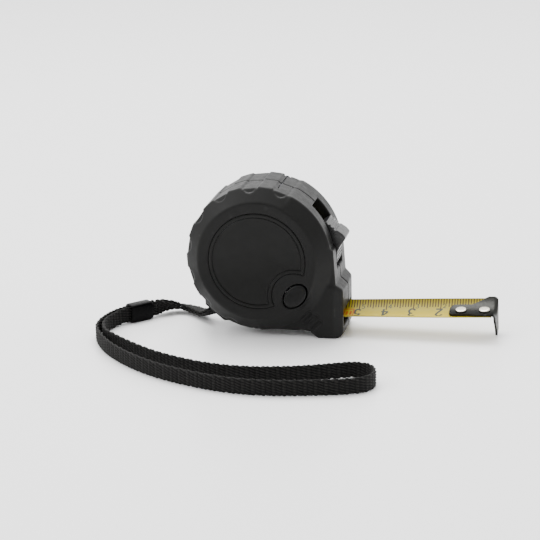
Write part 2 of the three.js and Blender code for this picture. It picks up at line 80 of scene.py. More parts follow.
EDGE_HALF = 11.4  # half thickness where the bevel meets the tread
FRONT_EDGE_HALF = 12.1  # the same on the smooth front stretch
LAND_R = 21.75  # where the bevel meets the side face
NOSE_HALF = 12.25
LUG_HALF = 7.35
DISC_R = 17.75
DISC_DEPTH = 0.9
CHAMBER = [(23.3, 10.4), (21.2, 13.3)]  # radius and half width of the reel's room
MOUTH_HALF = 8.9
MOUTH_LEVELS = (4.1, 10.1)
# outlines in X and Z
NOSE = [
    (0, 2.7), (18.5, 2.4), (20.9, 0), (28.6, 0), (29.9, 0.7), (MOUTH_X + 0.4, 2.2),
    (MOUTH_X + 0.4, 17.8), (28.2, 20.1), (27.4, 33), (20, 38.8), (0, 30.8),
]
NOSE_PLATE = [
    (3.4, 8.2), (15, 6.3), (18.6, 3.4), (21.1, 0.4), (28.4, 0.4),
    (31, 1.6), (31, 15.2), (28.6, 18.0), (21.4, 23.5), (12, 22.8),
]
TEARDROP = [
    (5, 25.8), (21.75, 30), (20.8, 23.4), (18.65, 16.2),
    (15.75, 12.6), (7.05, 9), (3.4, 8.2), (-2, 12.8),
]
LUG = [(-21.95, 12.6), (-21.95, 9.2), (-14.7, 3.05), (-8.2, 3.05), (0, 4.8), (-10, 14.8)]
STRAP_ROOM = [(-19.9, 10.7), (-23, 9), (-23, 4.8), (-15.5, 2.3), (-13.6, 7.3), (-15.3, 10.7)]
PIN = ((pin_low[0] + pin_high[0]) / 2 - REEL_X, (pin_low[2] + pin_high[2]) / 2)

BLOCK_ANGLE = 12.5  # each tread block, degrees; low and high ones alternate
FIRST_DIMPLE = 71
LAST_BLOCK = 15
DIMPLE_R = 2.3
GRIP_SLOT_R = 0.75
GRIP_SLOT_DEPTH = 0.55
LOW_BLOCK, HIGH_BLOCK = -0.45, 0.06  # the blocks' flats, from the tread's radius
SEAM_DEPTH, SEAM_HALF = 0.42, 0.38
# the two ends of each slot in the side of the nose
GRIP_SLOTS = [((14.8, 5.8), (18.6, 9.5)), ((16.9, 4.3), (20.9, 8.2)), ((19.2, 3.2), (22.2, 6.1))]

BUTTON = (13.85, 16.65)
BUTTON_AXES = (4.9, 3.4)
BUTTON_LEAN = math.radians(47)
NOTCH_R = 8.5  # arc about the button that bites into the left disc

SCREW_ANGLES = (75, 140, 205)
SCREW_CIRCLE = 24.95
NOSE_SCREW = (27.4, 14.2)
SCREW_HEAD_R = 1.3
SCREW_HOLE_R = 1.05
SCREW_TIP_ROOM = 7.3  # how deep the screws' holes go into the left half
SCREW_SEAT = 10.6  # where the wells for the screws' heads begin, from the parting plane
OPENING_R = 22.3  # the openings in the drum's wall begin here
PAD_SEAT_R = 26.6
PAD_ENDS = (-61, -32)
BOSS = (4.5, 10.2)  # radius, and where it begins from the parting plane
POST_HOLE = (2.3, 13.7)  # radius and half length
PIN_HOLE = (1.25, 5.9)
BUTTON_WELL = (0.36, 11.2)  # gap round the button, and where the well begins
PARTING_HALF, PARTING_DEPTH = 0.28, 0.42  # the fine groove between the halves

LOCK_SLOT = (5.45, -9.5, 45)  # half width, then the two ends in degrees about the reel
LOCK_HALF = 5.15
LOCK_ENDS = (-5, 28.3)
LOCK_INNER_R = 22.6
LOCK_PROFILE = [
    (27.2, 28.3), (28.15, 24.3), (29, 20.2), (30.75, 16.1), (31.55, 13.2), (31.25, 11.8),
    (28.95, 7.3), (27.7, 3), (27.7, -5),
]
THUMB_GROOVES = [(27.6, 26.6), (28.3, 23.6), (28.9, 20.6)]  # radius and degrees about the reel
GROOVE_R = 0.5
KNURL_ROWS = (2.0, -0.6, -3.2)
KNURL_CIRCLE = 27.8
KNURL_SPACING = 1.35

slide_axis = next(j["axis"] for j in frame["joints"] if j["name"] == "blade_slide")
BLADE_TILT = math.atan2(slide_axis[2], slide_axis[0])
BLADE_ROLL = math.radians(8)
BLADE_WIDTH = 16
BLADE_SAG = 2.4
SAG_CHANGE = 0.1  # the blade is deeper by this in the mouth, and flatter under the hook
ROLL_CHANGE = math.radians(1.5)  # and it turns by this from its mean roll to each end
BLADE_T = 0.2
BLADE_Z = 5.92
BLADE_OUT = 53.9  # front face to the hook's inner face
BLADE_ENDS = (-22.6, BLADE_OUT - 0.95)
HOOK_T = 0.8
RIVETS = (BLADE_OUT - 12.25, BLADE_OUT - 3.75)

WEB_WIDTH = 5.7
WEB_T = 1.15
LAYER_SHIFT = 0.56  # each layer of the tail from the tail's middle

# the strap's middle in X, Y and Z, and the lean of its width from upright in degrees
TAIL_ROUTE = [
    (-18.8, 0, 7.6, 90), (-20.7, 0.8, 5, 90), (-23.5, 3.6, 2.8, 88), (-27.2, 7.6, 2, 82),
    (-31.6, 10.7, 2, 76), (-36.2, 11.3, 2.5, 66), (-40.2, 8.7, 3.2, 42), (-43.4, 5.2, 3.5, 0),
]
STAND = 2.9  # height of the strap's middle where it stands on edge
LOOP_ON_EDGE = [
    (-58.4, -16), (-58.1, -23.7), (-55, -31.4), (-49.9, -39.7), (-43.4, -47.4), (-35.2, -55),
    (-25.4, -61.9), (-14.5, -67.3), (-3.1, -71.4), (8.3, -73.3), (19.7, -72.9), (31, -70.8),
    (40.7, -68.4), (47, -65), (49.2, -58.8), (46.6, -52.6), (41.2, -51.2), (34.2, -53.6), (25.4, -57),
    (14.2, -59.8), (2.4, -60.6), (-9, -58.8), (-20.2, -54.5), (-30.3, -48.9), (-39.2, -42.1),
    (-46.9, -35.2), (-53.5, -28.2), (-56.3, -21.4), (-56.6, -15.3),
]
LOOP_ROUTE = [
    (-44.25, 5.5, 3.5, 0), (-49.1, 0.37, 3.5, 0), (-54, -4.83, 3.4, 0), (-56.8, -9.4, 3.1, 0),
    *((x, y, STAND, 0) for x, y in LOOP_ON_EDGE),
    (-55, -9.9, 3.1, 0), (-52.8, -5.9, 3.4, 0), (-47.9, -0.73, 3.5, 0), (-43.05, 4.4, 3.5, 0),
]
FERRULE_MIDDLE = (-48.45, -0.1, 3.5)
FERRULE_HEADING = math.atan2(0.726, 0.688)
FERRULE_SIZE = (9.3, 4.9, 6.9)


def to_row(points):
    """Millimetres about the reel's X to metres in the row frame."""
    return (np.asarray(points, float).reshape(-1, 3) + (REEL_X, 0, 0)) * MM


def new_object(name, data):
    made = bpy.data.objects.new(name, data)
    bpy.context.scene.collection.objects.link(made)
    return made


# ---------------------------------------------------------------- camera
CAMERA_ANGLES = (11.67, 16.74, -1.154)  # azimuth, elevation and roll, degrees
CAMERA_DISTANCE = 732
CAMERA_TARGET = (-23.566, 0, 21.55)
CAMERA_LENS = 132.93


def make_camera():
    """A long lens, looking a little down on the left side face, from somewhat towards the hook."""
    azimuth, elevation, roll = (math.radians(a) for a in CAMERA_ANGLES)
    distance = CAMERA_DISTANCE * MM
    target = Vector(CAMERA_TARGET) * MM
    back = Vector((
        math.sin(azimuth) * math.cos(elevation),
        -math.cos(azimuth) * math.cos(elevation),
        math.sin(elevation),
    ))
    right = Vector((math.cos(azimuth), math.sin(azimuth), 0))
    up = back.cross(right)
    across = right * math.cos(roll) + up * math.sin(roll)
    upward = up * math.cos(roll) - right * math.sin(roll)
    data = bpy.data.cameras.new("camera")
    data.sensor_width = 36
    data.lens = CAMERA_LENS
    data.clip_start, data.clip_end = 0.01, 20
    camera = new_object("camera", data)
    camera.matrix_world = Matrix.Translation(target + back * distance) @ (
        Matrix((across, upward, back)).transposed().to_4x4()
    )
    bpy.context.scene.camera = camera


make_camera()


# ---------------------------------------------------------------- materials
def set_range(node, *ends):
    """The four ends of a Map Range node."""
    for key, number in zip(("From Min", "From Max", "To Min", "To Max"), ends):
        node.inputs[key].default_value = number


def tint(color, factor, more=0.0):
    """A colour made lighter or darker."""
    return tuple(min(1, c * factor + more) for c in color)


class Look:
    """A Principled material under construction, with short calls for its nodes."""

    def __init__(self, name, color, roughness, metallic=0.0):
        self.material = bpy.data.materials.new(name)
        self.material.use_nodes = True
        self.nodes = self.material.node_tree.nodes
        self.links = self.material.node_tree.links
        self.shader = self.nodes["Principled BSDF"]
        self.shader.inputs["Base Color"].default_value = (*color, 1)
        self.shader.inputs["Roughness"].default_value = roughness
        self.shader.inputs["Metallic"].default_value = metallic
        self.place = self.node("ShaderNodeTexCoord").outputs["Object"]

    def node(self, kind, settings=None, **inputs):
        made = self.nodes.new(kind)
        for key, value in (settings or {}).items():
            setattr(made, key, value)
        for key, value in inputs.items():
            self.feed(made.inputs[key.replace("_", " ")], value)
        return made

    def feed(self, socket, value):
        if isinstance(value, bpy.types.NodeSocket):
            self.links.new(value, socket)
        else:
            socket.default_value = value

    def stretched(self, scale, source=None):
        """Coordinates multiplied by a different number on each axis."""
        made = self.node("ShaderNodeMapping", Vector=source or self.place)
        made.inputs["Scale"].default_value = scale
        return made.outputs["Vector"]

    def noise(self, scale, detail=3.0, roughness=0.55, place=None):
        made = self.node(
            "ShaderNodeTexNoise", Vector=place or self.place, Scale=scale, Detail=detail, Roughness=roughness
        )
        return made.outputs["Fac"]

    def ramp(self, value, stops):
        """Colours at positions along a value."""
        made = self.node("ShaderNodeValToRGB", Fac=value)
        elements = made.color_ramp.elements
        while len(elements) < len(stops):
            elements.new(0.5)
        for element, (position, color) in zip(elements, stops):
            element.position = position
            element.color = (*color, 1)
        return made.outputs["Color"]

    def between(self, value, low, high, new_low, new_high):
        made = self.node("ShaderNodeMapRange", Value=value)
        set_range(made, low, high, new_low, new_high)
        return made.outputs["Result"]

    def mix(self, factor, a, b):
        made = self.node("ShaderNodeMix", {"data_type": "RGBA"})
        self.feed(made.inputs[0], factor)
        self.feed(made.inputs[6], a if isinstance(a, bpy.types.NodeSocket) else (*a, 1))
        self.feed(made.inputs[7], b if isinstance(b, bpy.types.NodeSocket) else (*b, 1))
        return made.outputs[2]

    def color(self, socket):
        self.links.new(socket, self.shader.inputs["Base Color"])

    def roughness(self, value, low, high):
        """Roughness that wanders between two numbers with a noise of about 0.3 to 0.7."""
        self.links.new(self.between(value, 0.3, 0.7, low, high), self.shader.inputs["Roughness"])

    def gloss(self, level):
        self.shader.inputs["Specular IOR Level"].default_value = level

    def bump(self, height, distance):
        """Raises the surface by up to distance metres; calls add up."""
        made = self.node("ShaderNodeBump", Height=height, Strength=1.0, Distance=distance)
        normal = self.shader.inputs["Normal"]
        if normal.links:
            self.links.new(normal.links[0].from_socket, made.inputs["Normal"])
        self.links.new(made.outputs["Normal"], normal)

    def attribute(self, name):
        return self.node("ShaderNodeAttribute", {"attribute_name": name}).outputs["Fac"]

    def edges(self, low, high):
        """0 in the flats and 1 on outer edges, where a paler colour stands for edge wear and painted sheen.
        """
        pointed = self.node("ShaderNodeNewGeometry").outputs["Pointiness"]
        return self.between(pointed, low, high, 0, 1)


def moulded_plastic(name, color, roughness, grain=0.00002, gloss=0.14):
    """Black moulded plastic: a fine spark-eroded grain, slight mottling, and paler outer edges that are
    partly wear and partly painted sheen.
    """
    look = Look(name, color, roughness)
    mottled = look.mix(look.noise(160, 4), color, tint(color, 1.22))
    # paler outer edges: partly edge wear, partly a painted highlight where the edges catch the light
    look.color(look.mix(look.edges(0.53, 0.62), mottled, tint(color, 1.5, 0.003)))
    look.gloss(gloss)
    look.roughness(look.noise(420, 4), roughness - 0.06, roughness + 0.07)
    look.bump(look.noise(6500, 2, 0.6), grain)
    look.bump(look.noise(90, 2), 0.00003)
    return look.material


def brushed_metal(name, color, roughness, stretch=(60, 2600, 2600), grain=0.000006, glancing=1.0):
    """Steel with fine lines along the axis that is stretched least."""
    look = Look(name, color, roughness, 1.0)
    lines = look.noise(1, 4, 0.6, look.stretched(stretch))
    look.color(look.mix(lines, tint(color, 0.82), tint(color, 1.15)))
    look.roughness(look.noise(900, 3), roughness - 0.07, roughness + 0.09)
    look.bump(lines, grain)
    look.shader.inputs["Specular Tint"].default_value = (glancing, glancing, glancing, 1)
    return look.material


def polished_metal(name, color, roughness):
    """Plated steel: nearly smooth, with faint scuffs."""
    look = Look(name, color, roughness, 1.0)
    scuffs = look.noise(1, 5, 0.7, look.stretched((500, 3800, 1400)))
    look.color(look.mix(look.noise(700, 3), color, tint(color, 0.9)))
    look.roughness(scuffs, roughness - 0.05, roughness + 0.1)
    look.bump(scuffs, 0.000003)
    return look.material


def rubber(name):
    look = Look(name, (0.02, 0.02, 0.02), 0.85)
    look.color(look.mix(look.noise(500, 3), (0.016, 0.016, 0.016), (0.034, 0.033, 0.032)))
    look.bump(look.noise(3000, 3), 0.00003)
    return look.material


def webbing(name):
    """Polyester yarn: fine filaments along each float, with painted shade darkening the gaps between the
    floats.
    """
    look = Look(name, (0.045, 0.043, 0.04), 0.72)
    vector = look.node(
        "ShaderNodeCombineXYZ", X=look.attribute("along"), Y=look.attribute("across"), Z=0.0
    ).outputs["Vector"]
    filaments = look.noise(1, 3, 0.65, look.stretched((0.9, 9, 1), vector))
    patches = look.noise(0.35, 2, 0.5, vector)
    height = look.attribute("height")
    yarn = look.mix(filaments, (0.0035, 0.0033, 0.003), (0.018, 0.0171, 0.016))
    yarn = look.mix(look.between(patches, 0.3, 0.7, 0, 0.35), yarn, (0.0075, 0.0071, 0.0067))
    # painted shade: nearly black in the gaps between the floats, full yarn colour on their crowns
    look.color(look.mix(look.between(height, 0.2, 0.7, 0, 1), (0.0006, 0.0006, 0.0005), yarn))
    look.bump(filaments, 0.00005)
    look.gloss(0.15)
    look.shader.inputs["Sheen Weight"].default_value = 0.06
    look.shader.inputs["Sheen Roughness"].default_value = 0.4
    return look.material


def blade_paint(name):
    """Painted yellow, with painted shade across the blade: darker towards the far edge, lighter towards the
    near edge, for the blade's curve.
    """
    look = Look(name, (0.72, 0.62, 0.13), 0.38)
    across = look.between(look.attribute("across"), -8, 8, 0, 1)
    # painted shade of the blade's curve: lighter at the near edge, darker towards the far edge
    shaded_paint = look.ramp(across, [
        (0.0, (0.36, 0.28, 0.03)), (0.25, (0.40, 0.31, 0.03)), (0.48, (0.35, 0.27, 0.008)),
        (0.72, (0.245, 0.2, 0.0006)), (1.0, (0.185, 0.15, 0.0003)),
    ])
    look.color(look.mix(look.noise(260, 4), shaded_paint, look.mix(0.25, shaded_paint, (0.5, 0.38, 0.03))))
    look.roughness(look.noise(700, 3), 0.3, 0.46)
    look.bump(look.noise(2500, 3), 0.000008)
    look.gloss(0.12)
    return look.material


def coil_paint(name):
    """The wound blade: the edges of its turns as fine rings about the reel."""
    look = Look(name, (0.5, 0.43, 0.1), 0.45)
    shifted = look.node("ShaderNodeMapping", Vector=look.place)
    shifted.inputs["Location"].default_value = (-REEL_X * MM, 0, -REEL_Z * MM)
    wave = look.node(
        "ShaderNodeTexWave",
        {"wave_type": "RINGS", "rings_direction": "Y"},
        Vector=shifted.outputs["Vector"], Scale=1100.0, Distortion=0.4, Detail=2.0,
    ).outputs["Fac"]
    look.color(look.mix(wave, (0.2, 0.17, 0.05), (0.62, 0.54, 0.12)))
    look.roughness(look.noise(500, 3), 0.35, 0.5)
    look.bump(wave, 0.00004)
    return look.material


def ink(name, color):
    """Printed ink, worn a little thin in places."""
    look = Look(name, color, 0.45)
    look.color(look.mix(look.noise(1400, 4), color, tint(color, 1.5, 0.02)))
    look.roughness(look.noise(900, 3), 0.38, 0.5)
    look.gloss(0.1)
    look.bump(look.noise(4000, 2), 0.000004)
    return look.material


def floor_material():
    look = Look("studio_floor", (0.9, 0.9, 0.9), 0.32)
    look.color(look.mix(look.noise(8, 3), (0.895, 0.895, 0.895), (0.91, 0.91, 0.91)))
    return look.material


CASE_PLASTIC = moulded_plastic("case_plastic", (0.0075, 0.0075, 0.0072), 0.44)
DISC_PLASTIC = moulded_plastic("disc_plastic", (0.006, 0.006, 0.0056), 0.36, 0.000008)
CONTROL_PLASTIC = moulded_plastic("control_plastic", (0.006, 0.006, 0.0058), 0.34, 0.000008)
THUMB_PLASTIC = moulded_plastic("thumb_plastic", (0.008, 0.008, 0.008), 0.3, 0.000006, gloss=0.4)
FERRULE_PLASTIC = moulded_plastic("ferrule_plastic", (0.0022, 0.0022, 0.0023), 0.26, 0.000003, gloss=0.04)
REEL_PLASTIC = moulded_plastic("reel_plastic", (0.66, 0.65, 0.61), 0.5, 0.00001)
PAD_RUBBER = rubber("pad_rubber")
HOOK_STEEL = brushed_metal("hook_steel", (0.025, 0.025, 0.0235), 0.32, (2600, 60, 2600), glancing=0.5)
RIVET_STEEL = polished_metal("rivet_steel", (0.6, 0.57, 0.49), 0.26)
SCREW_STEEL = brushed_metal("screw_steel", (0.07, 0.07, 0.075), 0.34, (900, 900, 900))
SPRING_STEEL = brushed_metal("spring_steel", (0.4, 0.42, 0.45), 0.3, (900, 60, 900))
STRAP_WEBBING = webbing("strap_webbing")
BLADE_PAINT = blade_paint("blade_paint")
COIL_PAINT = coil_paint("coil_paint")
TICK_INK = ink("tick_ink", (0.04, 0.022, 0.001))
NUMBER_INK = ink("number_ink", (0.022, 0.026, 0.015))
ORANGE_INK = ink("orange_ink", (0.26, 0.06, 0.001))
FLOOR = floor_material()


# ---------------------------------------------------------------- mesh making
def add_piece(name, points, faces, material, body, slot, replaces=(), sharp=None):
    """A mesh from points in millimetres, riding on a body and standing for CAD nodes."""
    mesh = bpy.data.meshes.new(name)
    mesh.from_pydata(to_row(points).tolist(), [], [tuple(int(i) for i in face) for face in faces])
    mesh.validate()
    mesh.shade_smooth()
    if sharp is not None:
        mesh.set_sharp_from_angle(angle=math.radians(sharp))
    mesh.materials.append(material)
    made = new_object(name, mesh)
    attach(made, body)
    if replaces:
        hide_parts(*replaces)
    return made


def apply_modifiers(made):
    """Turns a piece's modifiers into plain mesh."""
    bpy.context.view_layer.update()
    evaluated = made.evaluated_get(bpy.context.evaluated_depsgraph_get())
    final = bpy.data.meshes.new_from_object(evaluated)
    final.name = made.name
    made.modifiers.clear()
    made.data = final


def thin_out(made, ratio):
    """Fewer faces where the surface is flat."""
    modifier = made.modifiers.new("thin", "DECIMATE")
    modifier.ratio = ratio
    apply_modifiers(made)
    made.data.shade_smooth()


def set_values(made, name, values):
    """A number on each point, for a material to read."""
    attribute = made.data.attributes.new(name, "FLOAT", "POINT")
    attribute.data.foreach_set("value", np.asarray(values, np.float32).ravel())


def loft(loops, closed=False):
    """Points and faces of a skin over loops that have the same number of points."""
    loops = np.asarray(loops, float)
    rows, count = loops.shape[:2]
    points = loops.reshape(-1, 3)
    faces = []
    for row in range(rows if closed else rows - 1):
        a, b = row * count, ((row + 1) % rows) * count
        for i in range(count):
            j = (i + 1) % count
            faces.append((a + i, a + j, b + j, b + i))
    if not closed:
        faces.append(tuple(range(count))[::-1])
        faces.append(tuple(range((rows - 1) * count, rows * count)))
    return points, faces


def outward(points, faces):
    """The faces, turned round if they face inwards."""
    volume = 0
    for face in faces:
        a = points[face[0]]
        for i in range(1, len(face) - 1):
            volume += np.dot(a, np.cross(points[face[i]], points[face[i + 1]]))
    return faces if volume > 0 else [tuple(face)[::-1] for face in faces]


def add_loft(name, loops, *finish, closed=False, **options):
    """A piece from loops, with its faces outwards."""
    points, faces = loft(loops, closed)
    return add_piece(name, points, outward(points, faces), *finish, **options)


def joined(parts):
    """The points and faces of several parts, as those of one."""
    points, faces = [], []
    for part_points, part_faces in parts:
        faces += [tuple(i + len(points) for i in face) for face in part_faces]
        points += part_points.tolist()
    return np.array(points), faces


def at_depth(x, z, y):
    """Points in an X-Z plane."""
    return np.stack([x, np.full(len(x), y), z], 1)


def turned(profile, segments):
    """Loops of a profile of (radius, height) about the Z axis."""
    turns = np.linspace(0, 2 * math.pi, segments, endpoint=False)
    return [[(r * math.cos(t), r * math.sin(t), h) for t in turns] for r, h in profile]


def surface_net(field, low, step):
    """A smooth skin where a sampled distance field crosses zero: one point in each crossed cell."""
    inside = field < 0
    cube = [(i, j, k) for i in (0, 1) for j in (0, 1) for k in (0, 1)]
    corners = [tuple(slice(i, i - 1 or None) for i in corner) for corner in cube]
    filled = sum(inside[c].astype(np.int8) for c in corners)
    cells = (filled > 0) & (filled < 8)
    where = np.argwhere(cells)
    values = np.stack([field[c][cells] for c in corners], 1)
    offsets = np.array(cube, float)
    total = np.zeros((len(where), 3))
    count = np.zeros(len(where))
    for a in range(8):
        for b in range(a + 1, 8):
            if np.abs(offsets[a] - offsets[b]).sum() != 1:
                continue
            crossed = (values[:, a] < 0) != (values[:, b] < 0)
            share = values[:, a] / np.where(crossed, values[:, a] - values[:, b], 1)
            spot = offsets[a] + share[:, None] * (offsets[b] - offsets[a])
            total += np.where(crossed[:, None], spot, 0)
            count += crossed
    points = (where + total / count[:, None]) * step + low
    index = np.full(cells.shape, -1, np.int64)
    index[cells] = np.arange(len(where))
    faces = []
    for axis in range(3):
        one, two = [other for other in range(3) if other != axis]
        here = [slice(None)] * 3
        ahead = [slice(None)] * 3
        here[axis], ahead[axis] = slice(0, -1), slice(1, None)
        for other in (one, two):
            here[other] = ahead[other] = slice(1, -1)
        start, stop = inside[tuple(here)], inside[tuple(ahead)]
        i = np.argwhere(start != stop)
        going_out = start[start != stop]
        around = []
        for d1, d2 in ((0, 0), (1, 0), (1, 1), (0, 1)):
            spot = i.copy()
            spot[:, one] += d1
            spot[:, two] += d2
            around.append(index[tuple(spot.T)])
        quads = np.stack(around, 1)
        flip = going_out if axis != 1 else ~going_out
        quads[~flip] = quads[~flip][:, ::-1]
        faces.append(quads)
    return points, np.concatenate(faces)


def grid_axes(low, high, step):
    """Three arrays that broadcast to a grid, of X, Y and Z."""
    axes = [np.arange(a, b + s, s, dtype=np.float32) for a, b, s in zip(low, high, step)]
    return [axis.reshape([-1 if i == j else 1 for j in range(3)]) for i, axis in enumerate(axes)]


def softened(field, passes):
    """Rounds every edge of a field by averaging each sample with its neighbours."""
    field = np.array(field, np.float32)
    for _ in range(passes):
        for axis in range(3):
            line = np.moveaxis(field, axis, 0)
            line[1:-1] = (line[:-2] + 2 * line[1:-1] + line[2:]) / 4
    return field


def outline_distance(x, z, points):
    """Signed distance to a closed outline in the X-Z plane, below zero inside."""
    nearest = None
    inside = False
    for (ax, az), (bx, bz) in zip(points, points[-1:] + points[:-1]):
        ex, ez = bx - ax, bz - az
        wx, wz = x - ax, z - az
        t = np.clip((wx * ex + wz * ez) / (ex * ex + ez * ez), 0, 1)
        gap = (wx - ex * t) ** 2 + (wz - ez * t) ** 2
        nearest = gap if nearest is None else np.minimum(nearest, gap)
        turn = ex * wz - ez * wx
        rising = (z >= az) & (z < bz) & (turn > 0)
        falling = (z < az) & (z >= bz) & (turn < 0)
        inside = inside ^ (rising | falling)
    return np.where(inside, -1, 1) * np.sqrt(nearest)


def slope(p, q, a, b):
    """Distance past the line from a to b, on its left, in the plane of p and q."""
    length = math.hypot(b[0] - a[0], b[1] - a[1])
    return ((q - a[1]) * (b[0] - a[0]) - (p - a[0]) * (b[1] - a[1])) / length


def cut(field, *tools):
    for tool in tools:
        field = np.maximum(field, -tool)
    return field


def every(*fields):
    """What is inside all of the fields."""
    result = fields[0]
    for other in fields[1:]:
        result = np.maximum(result, other)
    return result


def button_axes(x, z):
    """Along and across the stop button's long axis."""
    dx, dz = x - BUTTON[0], z - BUTTON[1]
    c, s = math.cos(BUTTON_LEAN), math.sin(BUTTON_LEAN)
    return dx * c + dz * s, dz * c - dx * s


def button_distance(x, z):
    along, across = button_axes(x, z)
    radius = np.hypot(along / BUTTON_AXES[0], across / BUTTON_AXES[1])
    return (radius - 1) * BUTTON_AXES[1]


# ---------------------------------------------------------------- strap
def route_curve(route, spacing):
    """Evenly spaced points, and their leans, on a centripetal Catmull-Rom curve through a route."""
    nodes = np.array(route, float)
    first, last = 2 * nodes[0] - nodes[1], 2 * nodes[-1] - nodes[-2]
    nodes = np.vstack([first, nodes, last])
    dense = []
    for p0, p1, p2, p3 in zip(nodes, nodes[1:], nodes[2:], nodes[3:]):
        t0 = 0.0
        pairs = ((p0, p1), (p1, p2), (p2, p3))
        t1, t2, t3 = np.cumsum([math.sqrt(np.linalg.norm((b - a)[:3])) for a, b in pairs])
        for t in np.linspace(t1, t2, 24, endpoint=False):
            a1 = ((t1 - t) * p0 + (t - t0) * p1) / (t1 - t0)
            a2 = ((t2 - t) * p1 + (t - t1) * p2) / (t2 - t1)
            a3 = ((t3 - t) * p2 + (t - t2) * p3) / (t3 - t2)
            b1 = ((t2 - t) * a1 + (t - t0) * a2) / (t2 - t0)
            b2 = ((t3 - t) * a2 + (t - t1) * a3) / (t3 - t1)
            dense.append(((t2 - t) * b1 + (t - t1) * b2) / (t2 - t1))
    dense = np.array(dense + [nodes[-2]])
    lengths = np.concatenate([[0], np.cumsum(np.linalg.norm(np.diff(dense[:, :3], axis=0), axis=1))])
    even = np.linspace(0, lengths[-1], int(lengths[-1] / spacing) + 1)
    return even, np.stack([np.interp(even, lengths, dense[:, i]) for i in range(4)], 1)


FLOAT_LENGTH = 1.75  # each visible yarn float along the strap
FLOATS_ROUND = 12  # floats round the strap's section
YARN_RELIEF = 0.52  # from the gaps to the crowns of the yarns
STRAP_SPACING = 0.34  # between the strap's cross sections


def weave_height(along, around, seed):
    """Height from 0 to 1 of a warp-faced plain weave, over the lengths along and round the strap."""
    slanted = along / FLOAT_LENGTH + 0.1 * np.sin(around * FLOATS_ROUND * 2 * math.pi)
    column = np.floor(slanted)
    u = (slanted - column) * 2 - 1
    rows = around * FLOATS_ROUND + 0.5 * (column % 2) + 0.3 * u
    row = np.floor(rows)
    v = (rows - row) * 2 - 1
    random = np.sin(column * 12.9898 + (row % FLOATS_ROUND) * 78.233 + seed) * 43758.5453
    random -= np.floor(random)
    ends = 0.1 + 0.9 * np.clip(1 - u * u, 0, 1) ** 0.7
    crown = np.clip(1 - v * v, 0, 1) * ends
    return crown * (0.84 + 0.16 * random)


def woven_band(route, shift=0.0, seed=0.0):
    """Points, faces and surface values of one layer of the strap, moved by shift across its thickness."""
    along, curve = route_curve(route, STRAP_SPACING)
    centre, lean = curve[:, :3], np.radians(curve[:, 3])
    tangent = np.gradient(centre, axis=0)
    tangent /= np.linalg.norm(tangent, axis=1)[:, None]
    side = np.cross([0, 0, 1], tangent)
    side /= np.linalg.norm(side, axis=1)[:, None]
    rise = np.cross(tangent, side)
    across = rise * np.cos(lean)[:, None] + side * np.sin(lean)[:, None]
    through = np.cross(tangent, across)
    centre = centre + through * shift
    base = WEB_T - 0.8 * YARN_RELIEF
    flat = WEB_WIDTH - base - 0.3 * YARN_RELIEF
    half = flat + math.pi * base / 2
    count = 96
    around = np.arange(count) / count
    run = around * 2 * half
    turn = np.clip((run % half - flat) / base * 2, 0, math.pi)
    normal = np.stack([np.sin(turn), np.cos(turn)], 1)
    position = normal * base / 2
    position[:, 0] += np.minimum(run % half, flat) - flat / 2
    for second_half in (position[count // 2:], normal[count // 2:]):
        second_half *= -1
    height = weave_height(along[:, None], around[None, :], seed)
    out = (height - 0.45) * YARN_RELIEF
    a = position[None, :, 0] + normal[None, :, 0] * out
    b = position[None, :, 1] + normal[None, :, 1] * out
    loops = centre[:, None] + across[:, None] * a[..., None] + through[:, None] * b[..., None]
    points, faces = loft(loops)
    values = {
        "along": np.repeat(along, count),
        "across": np.tile(run, len(along)),
        "height": height.ravel(),
    }
    return points, faces, values


def strap_piece(name, layers, cad_node):
    points, faces = joined([layer[:2] for layer in layers])
    made = add_piece(name, points, outward(points, faces), STRAP_WEBBING, "case", "webbing", [cad_node])
    for key in ("along", "across", "height"):
        set_values(made, key, np.concatenate([layer[2][key] for layer in layers]))
    return made


def make_ferrule():
    """A short flat tube with soft edges, over both layers of the strap."""
    length, width, height = FERRULE_SIZE
    forward = np.array([math.cos(FERRULE_HEADING), math.sin(FERRULE_HEADING), 0])
    side = np.array([-forward[1], forward[0], 0])

    def loop(at, inset, corner, count=48):
        """A rounded rectangle across the strap, smaller than the ferrule by inset."""
        half_width, half_height = width / 2 - inset, height / 2 - inset
        ring = []
        for i in range(count):
            turn = 2 * math.pi * (i + 0.5) / count
            c, s = math.cos(turn), math.sin(turn)
            x = math.copysign(half_width - corner, c) + corner * c
            z = math.copysign(half_height - corner, s) + corner * s
            ring.append(np.array(FERRULE_MIDDLE) + forward * at + side * x + np.array([0, 0, z]))
        return ring

    half, wall = length / 2, 0.5
    section = [(-half + 0.9, 0), (-half + 0.3, 0.05), (-half + 0.08, 0.16), (-half, 0.34)]
    inner = [(-half + 0.08, wall - 0.02), (-half + 0.4, wall + 0.04)]
    outside = section[::-1] + [(-at, inset) for at, inset in section]
    inside = [(-at, inset) for at, inset in inner] + inner[::-1]
    loops = [loop(at, inset, 1.15 - 0.4 * inset) for at, inset in outside]
    loops += [loop(at, inset, 0.5) for at, inset in inside]
    return add_loft(
        "ferrule_shell", loops, FERRULE_PLASTIC, "ferrule", "ferrule_plastic", ["ferrule"], closed=True
    )


def make_strap():
    ferrule = make_ferrule()
    tail_layers = [woven_band(TAIL_ROUTE, shift, seed=shift) for shift in (-LAYER_SHIFT, LAYER_SHIFT)]
    tail = strap_piece("strap_tail_webbing", tail_layers, "strap_tail")
    loop_layer = woven_band(LOOP_ROUTE, seed=5.0)
    loop = strap_piece("strap_loop_webbing", [loop_layer], "strap_loop")

    def declare(route):
        """Works out a route's evenly spaced curve, and does nothing more with it."""
        along, curve = route_curve(route, STRAP_SPACING)

    declare(TAIL_ROUTE)
    declare(LOOP_ROUTE)


make_strap()


# ---------------------------------------------------------------- case
CASE_STEP = 0.25


